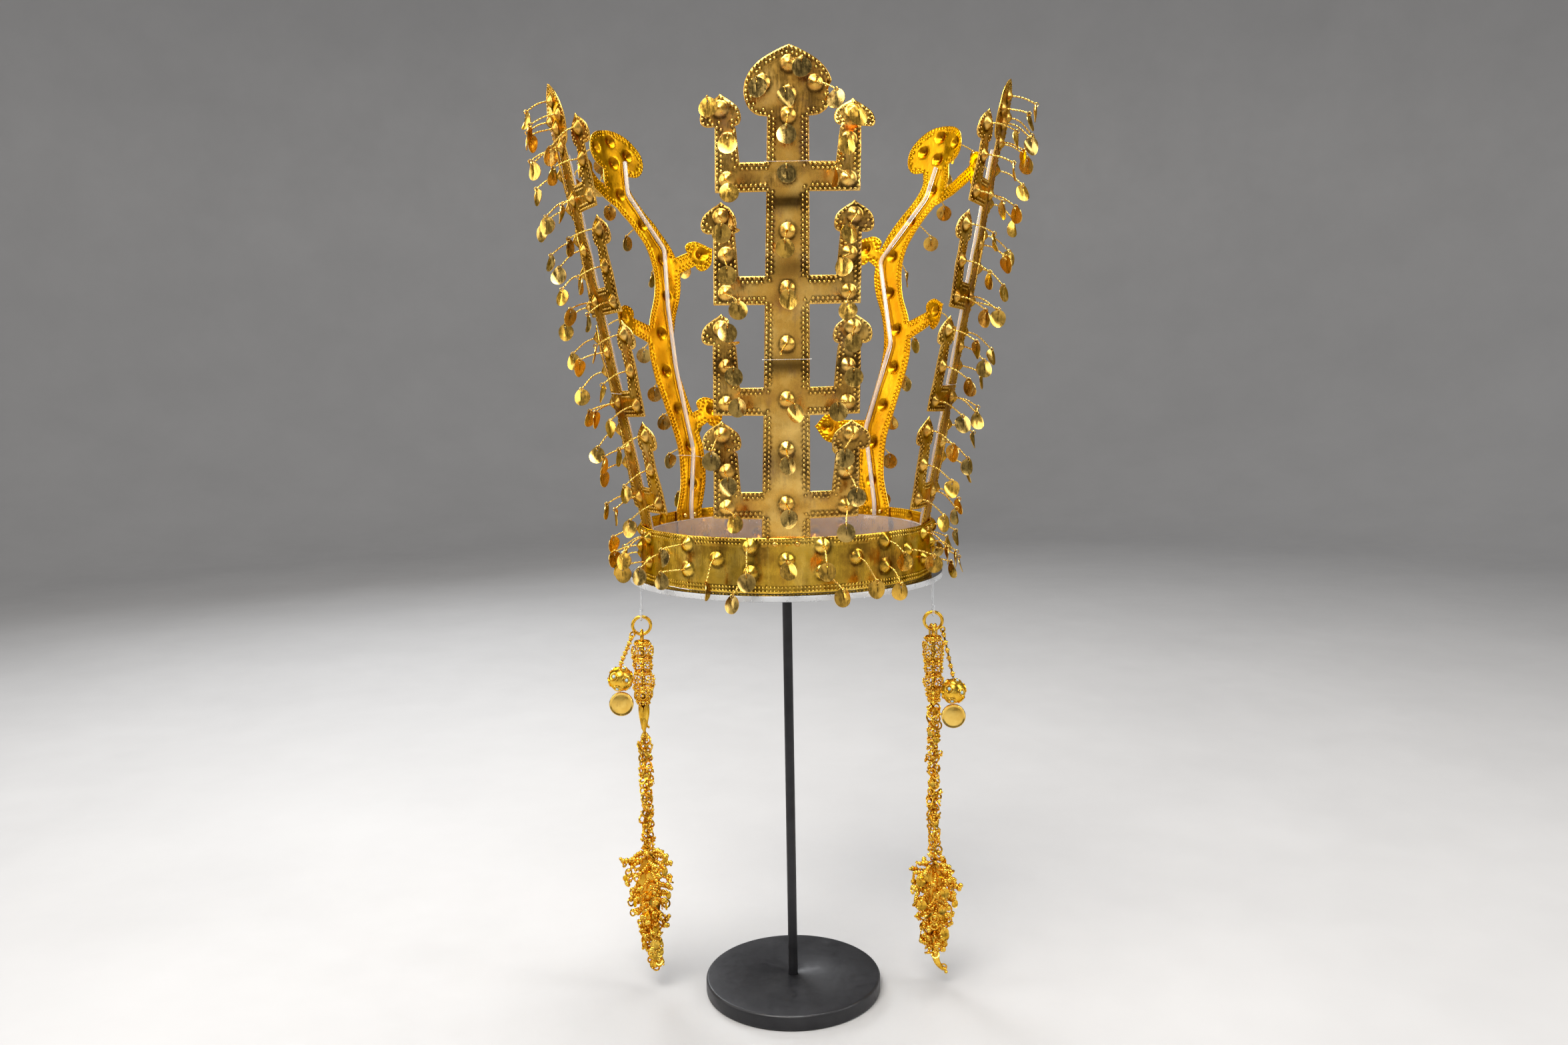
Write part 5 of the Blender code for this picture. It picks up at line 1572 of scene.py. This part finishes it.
def add_hook(name, origin):
    """The clear hook from the plate down through the ring and up again."""
    bend = RING_WIRE + HOOK_RADIUS + 2 * FIT
    bottom = RING_RADIUS - RING_MIDDLE - RING_WIRE - FIT - HOOK_RADIUS
    angles = np.linspace(0, math.pi, 13)
    round_way = [(math.cos(a) * bend, bottom + bend - math.sin(a) * bend) for a in angles]
    line = [(bend, -FIT - PLATE_THICKNESS - FIT)] + round_way + [(-bend, bottom + 3 * bend)]
    path = divided(np.array([(0, y, z) for y, z in line]), 0.0015)
    gather = Gather()
    gather.add(*tube(path + origin, HOOK_RADIUS, 12, SIDEWAYS))
    gather.make(name + "_clear_hook", (CLEAR_ROD,), (name + "_hook",))


def add_ring(name, side, origin):
    """The plain ring, a little out of round."""
    angles = np.linspace(0, math.tau, 49)[:-1]
    wobble = 1 + 0.02 * np.cos(2 * angles + side)
    round_way = np.cos(angles)[:, None] * SIDEWAYS + np.sin(angles)[:, None] * UP
    path = origin - UP * RING_MIDDLE + RING_RADIUS * wobble[:, None] * round_way
    radii = RING_WIRE * (0.93 + 0.06 * np.sin(3 * angles))
    gather = Gather()
    gather.add(*tube(path, radii, 14, FORWARD, closed=True), relief=0.6)
    gather.make(name + "_round_ring", (PENDANT_GOLD,), (name + "_ring",))


def add_body(name, side, origin, length, rng):
    """The body's loop, small rings and cage, and the place where the cage starts."""
    gather = Gather()
    loop_middle = origin + UP * (2 * RING_WIRE + FIT - RING_MIDDLE - RING_RADIUS - LOOP_RADIUS)
    hoop(gather, loop_middle, LOOP_RADIUS, LOOP_WIRE * 0.92, SIDEWAYS, 28, 9)
    top = loop_middle - UP * (LOOP_RADIUS - LOOP_WIRE)
    if side < 0:
        place = top - UP * NECK_OUT + SIDEWAYS * NECK_SIDE
        hoop(gather, place, *LEFT_NECK_RING, UP + SIDEWAYS * 0.25, 24, 8, 0.7)
    else:
        ends = np.linspace(0, math.tau, 25)[:-1, None]
        for turn in (-0.5, 0.5):
            axis = SIDEWAYS * math.cos(turn) + FORWARD * math.sin(turn)
            level = np.cross(axis, UP)
            place = loop_middle + level * NECK_OUT + SIDEWAYS * NECK_SIDE * math.copysign(1, turn)
            tall, wide = RIGHT_NECK_LOOP
            loop = place + tall * np.sin(ends) * UP + wide * np.cos(ends) * level
            gather.add(*tube(loop, RIGHT_NECK_WIRE, 8, axis, closed=True), relief=0.7)
    openwork(gather, top, length, BODY_ROWS[name], rng)
    gather.make(name + "_openwork", (PENDANT_GOLD,), (name + "_body",))
    return top


def add_leaf(name, side, top, length, rng):
    """The left pendant's long leaf of several petals, or the right one's short bud."""
    gather = Gather()
    if side < 0:
        # The core's low relief gives it painted shade among the petals
        gather.add(*tube([top + UP * FIT, top - UP * length * 0.86], LEFT_LEAF_CORE, 7), relief=0.3)
        granules(gather, top - UP * 0.0008, 0.0036, 16)
        for angle, long, wide in LEAF_PETALS:
            out = around(angle)
            place = top + out * 0.0026 - UP * 0.0010
            petal(gather, place, -UP - out * 0.10, out, length * long, wide, 0.06, 0.12)
        place = top - UP * length * 0.30 + FORWARD * 0.0022
        petal(gather, place, -UP, FORWARD, length * 0.50, 0.0042, 0.05)
        for _ in range(12):
            down = length * rng.uniform(0.35, 0.85)
            place = top - UP * down + around(rng.uniform(0, math.tau)) * rng.uniform(0.001, 0.0028)
            bead(gather, place, rng.uniform(*LEAF_BEADS), 0.85)
        for way in (-1, 1):
            root = top - UP * length * 0.80
            end = sprig(gather, root, unit(SIDEWAYS * way * 0.35 - UP), length * 0.16, 0.0, 3, rng)
            bead(gather, end, 0.0010, 0.85, squash=1.5)
    else:
        # The core's low relief gives it painted shade inside the bud
        gather.add(*tube([top + UP * FIT, top - UP * length], RIGHT_LEAF_CORE, 7), relief=0.3)
        openwork(gather, top, length * 0.72, BUD_ROWS, rng)
        for angle in BUD_PETALS:
            out = around(angle)
            petal(gather, top - UP * 0.004 + out * 0.0016, -UP, out, length * 0.5, 0.0030, 0.08)
    gather.make(name + "_petals", (PENDANT_GOLD,), (name + "_leaf",))


def add_bead_string(name, side, origin, ball):
    """The string of beads from the ring to the ball."""
    start = origin + (side * RING_RADIUS, -RING_WIRE - BEAD_RADIUS - FIT, -RING_MIDDLE - RING_RADIUS)
    end = ball + UP * (BALL_RADIUS + FIT)
    share = np.linspace(0, 1, 10)[:, None]
    gather = Gather()
    # The wire's low relief gives it painted shade between the beads
    gather.add(*tube(start * (1 - share) + end * share, STRING_WIRE, 7), relief=0.25)
    way = unit(end - start)
    for at in np.linspace(0.09, 0.91, BEADS):
        place = start * (1 - at) + end * at
        bead(gather, place, BEAD_RADIUS * 0.80)
        hoop(gather, place + way * BEAD_RADIUS * 0.85, 0.0008, 0.00034, way, 12, 6, 0.7)
        for k in range(3):
            out = unit(np.cross(way, around(k * 2.1 + at * 3)))
            bead(gather, place + out * BEAD_RADIUS * 0.72, 0.00055, 0.9)
    hoop(gather, start + UP * 0.0004, 0.0015, 0.0005, SIDEWAYS * 0.6 + FORWARD, relief=0.7)
    gather.make(name + "_bead_string", (PENDANT_GOLD,), (name + "_beads",))


def add_mirror_disc(name, ball):
    """The small round disc below the ball, domed on both faces and thicker at its rim."""
    rim, half = PENDANT_DISC_RADIUS, PENDANT_DISC_HALF
    rows = [(rim * s, -half - 0.0005 * (1 - s * s)) for s in (0.05, 0.2, 0.4, 0.6, 0.76, 0.86)]
    rows += [(rim * 0.90, -half * 1.9), (rim * 0.95, -half * 2.2), (rim, -half * 1.4)]
    points, faces = turned(rows + [(r, -z) for r, z in rows[::-1]], 48)
    upright = np.stack([points[:, 0], points[:, 2], -points[:, 1]], -1)
    relief = np.where(np.hypot(points[:, 0], points[:, 1]) > rim * 0.88, 0.95, 0.5)
    gather = Gather()
    gather.add(upright + (ball - UP * (BALL_RADIUS + FIT + rim)), faces, 0, relief)
    gather.make(name + "_mirror_disc", (MIRROR_GOLD,), (name + "_disc",))


def add_pendant(name, seed):
    side, ball_out, ball_down, (body, leaf, chain, cluster) = PENDANTS[name]
    origin = np.array((side * PENDANT_OUT, 0.0, BAND_BOTTOM))
    rng = np.random.default_rng(seed)
    add_hook(name, origin)
    add_ring(name, side, origin)
    top = add_body(name, side, origin, body, rng) - UP * (body + FIT)
    add_leaf(name, side, top, leaf, rng)

    gather = Gather()
    top = top - UP * (leaf + FIT)
    chain_of_hoops(gather, top, chain, rng)
    gather.make(name + "_hoops", (PENDANT_GOLD,), (name + "_chain",))

    gather = Gather()
    top = top - UP * (chain + FIT)
    ragged_cluster(gather, name, top, cluster, rng)
    gather.make(name + "_bush", (PENDANT_GOLD,), (name + "_cluster",))

    gather = Gather()
    ball = origin + (side * ball_out, -BALL_FORWARD, -ball_down)
    studded_ball(gather, ball)
    gather.make(name + "_studded_ball", (PENDANT_GOLD, STONE), (name + "_ball",))
    add_bead_string(name, side, origin, ball)
    add_mirror_disc(name, ball)


add_pendant("left", 71)
add_pendant("right", 89)


# Floor, light and camera. A light has its place, size, power and colour, and all of them point at the crown
FLOOR_FLAT = 2.0
FLOOR_BEND = 0.9
FLOOR_TOP = 2.6
LIT_POINT = Vector((0.0, 0.0, 0.38))
LIGHTS = (
    ("key", (-0.40, -0.80, 1.50), (1.0, 0.7), 31.0, (1.0, 0.96, 0.90)),
    ("top", (0.10, 0.10, 1.55), (0.5, 0.5), 17.0, (1.0, 0.97, 0.93)),
    ("front", (0.10, -1.55, 0.30), (1.1, 0.45), 0.7, (1.0, 0.96, 0.90)),
    ("right", (1.25, -0.35, 0.95), (0.5, 1.1), 9.0, (1.0, 0.98, 0.96)),
    ("left", (-1.25, -0.10, 0.80), (0.5, 1.1), 6.0, (1.0, 0.98, 0.96)),
    ("back", (-0.6, 1.1, 0.95), (0.6, 0.6), 9.0, (0.96, 0.98, 1.0)),
)


def add_floor():
    """A pale floor that bends up into a wall all round."""
    angles = np.linspace(0, math.pi / 2, 13)
    bend = [(FLOOR_FLAT + FLOOR_BEND * math.sin(a), FLOOR_BEND - FLOOR_BEND * math.cos(a)) for a in angles]
    points, faces = turned([(0.02, 0.0), (0.8, 0.0)] + bend + [(FLOOR_FLAT + FLOOR_BEND, FLOOR_TOP)], 96)
    mesh = bpy.data.meshes.new("floor")
    inward = [tuple(int(k) for k in face[::-1]) for group in faces[:2] for face in group]
    mesh.from_pydata([tuple(p) for p in points[:-1]], [], inward)
    pale = plain_look("pale_floor", (0.43, 0.43, 0.435), (0.46, 0.46, 0.465), 6.0, (0.55, 0.65))
    mesh.materials.append(pale)
    mesh.shade_smooth()
    floor = bpy.data.objects.new("floor", mesh)
    bpy.context.scene.collection.objects.link(floor)


def add_lights():
    world = bpy.data.worlds.new("studio")
    world.use_nodes = True
    world.node_tree.nodes["Background"].inputs["Color"].default_value = (0.90, 0.93, 1.0, 1)
    world.node_tree.nodes["Background"].inputs["Strength"].default_value = 0.16
    bpy.context.scene.world = world
    bpy.context.scene.view_settings.view_transform = "Standard"
    bpy.context.scene.view_settings.exposure = 0.0
    for name, place, size, power, colour in LIGHTS:
        light = bpy.data.lights.new(name, "AREA")
        light.shape = "RECTANGLE"
        light.size, light.size_y = size
        light.energy = power
        light.color = colour
        made = bpy.data.objects.new(name, light)
        made.location = place
        made.rotation_euler = (LIT_POINT - Vector(place)).to_track_quat("-Z", "Y").to_euler()
        bpy.context.scene.collection.objects.link(made)


def add_camera():
    camera = bpy.data.cameras.new("camera")
    camera.sensor_width = 36.0
    camera.lens = 29.1
    camera.shift_y = -0.019
    camera.clip_start = 0.01
    made = bpy.data.objects.new("camera", camera)
    turn = Matrix.Rotation(math.pi / 2 - PHOTO_PITCH, 4, "X") @ Matrix.Rotation(-PHOTO_ROLL, 4, "Z")
    made.matrix_world = Matrix.Translation(Vector(EYE)) @ turn
    bpy.context.scene.collection.objects.link(made)
    bpy.context.scene.camera = made


add_floor()
add_lights()
add_camera()
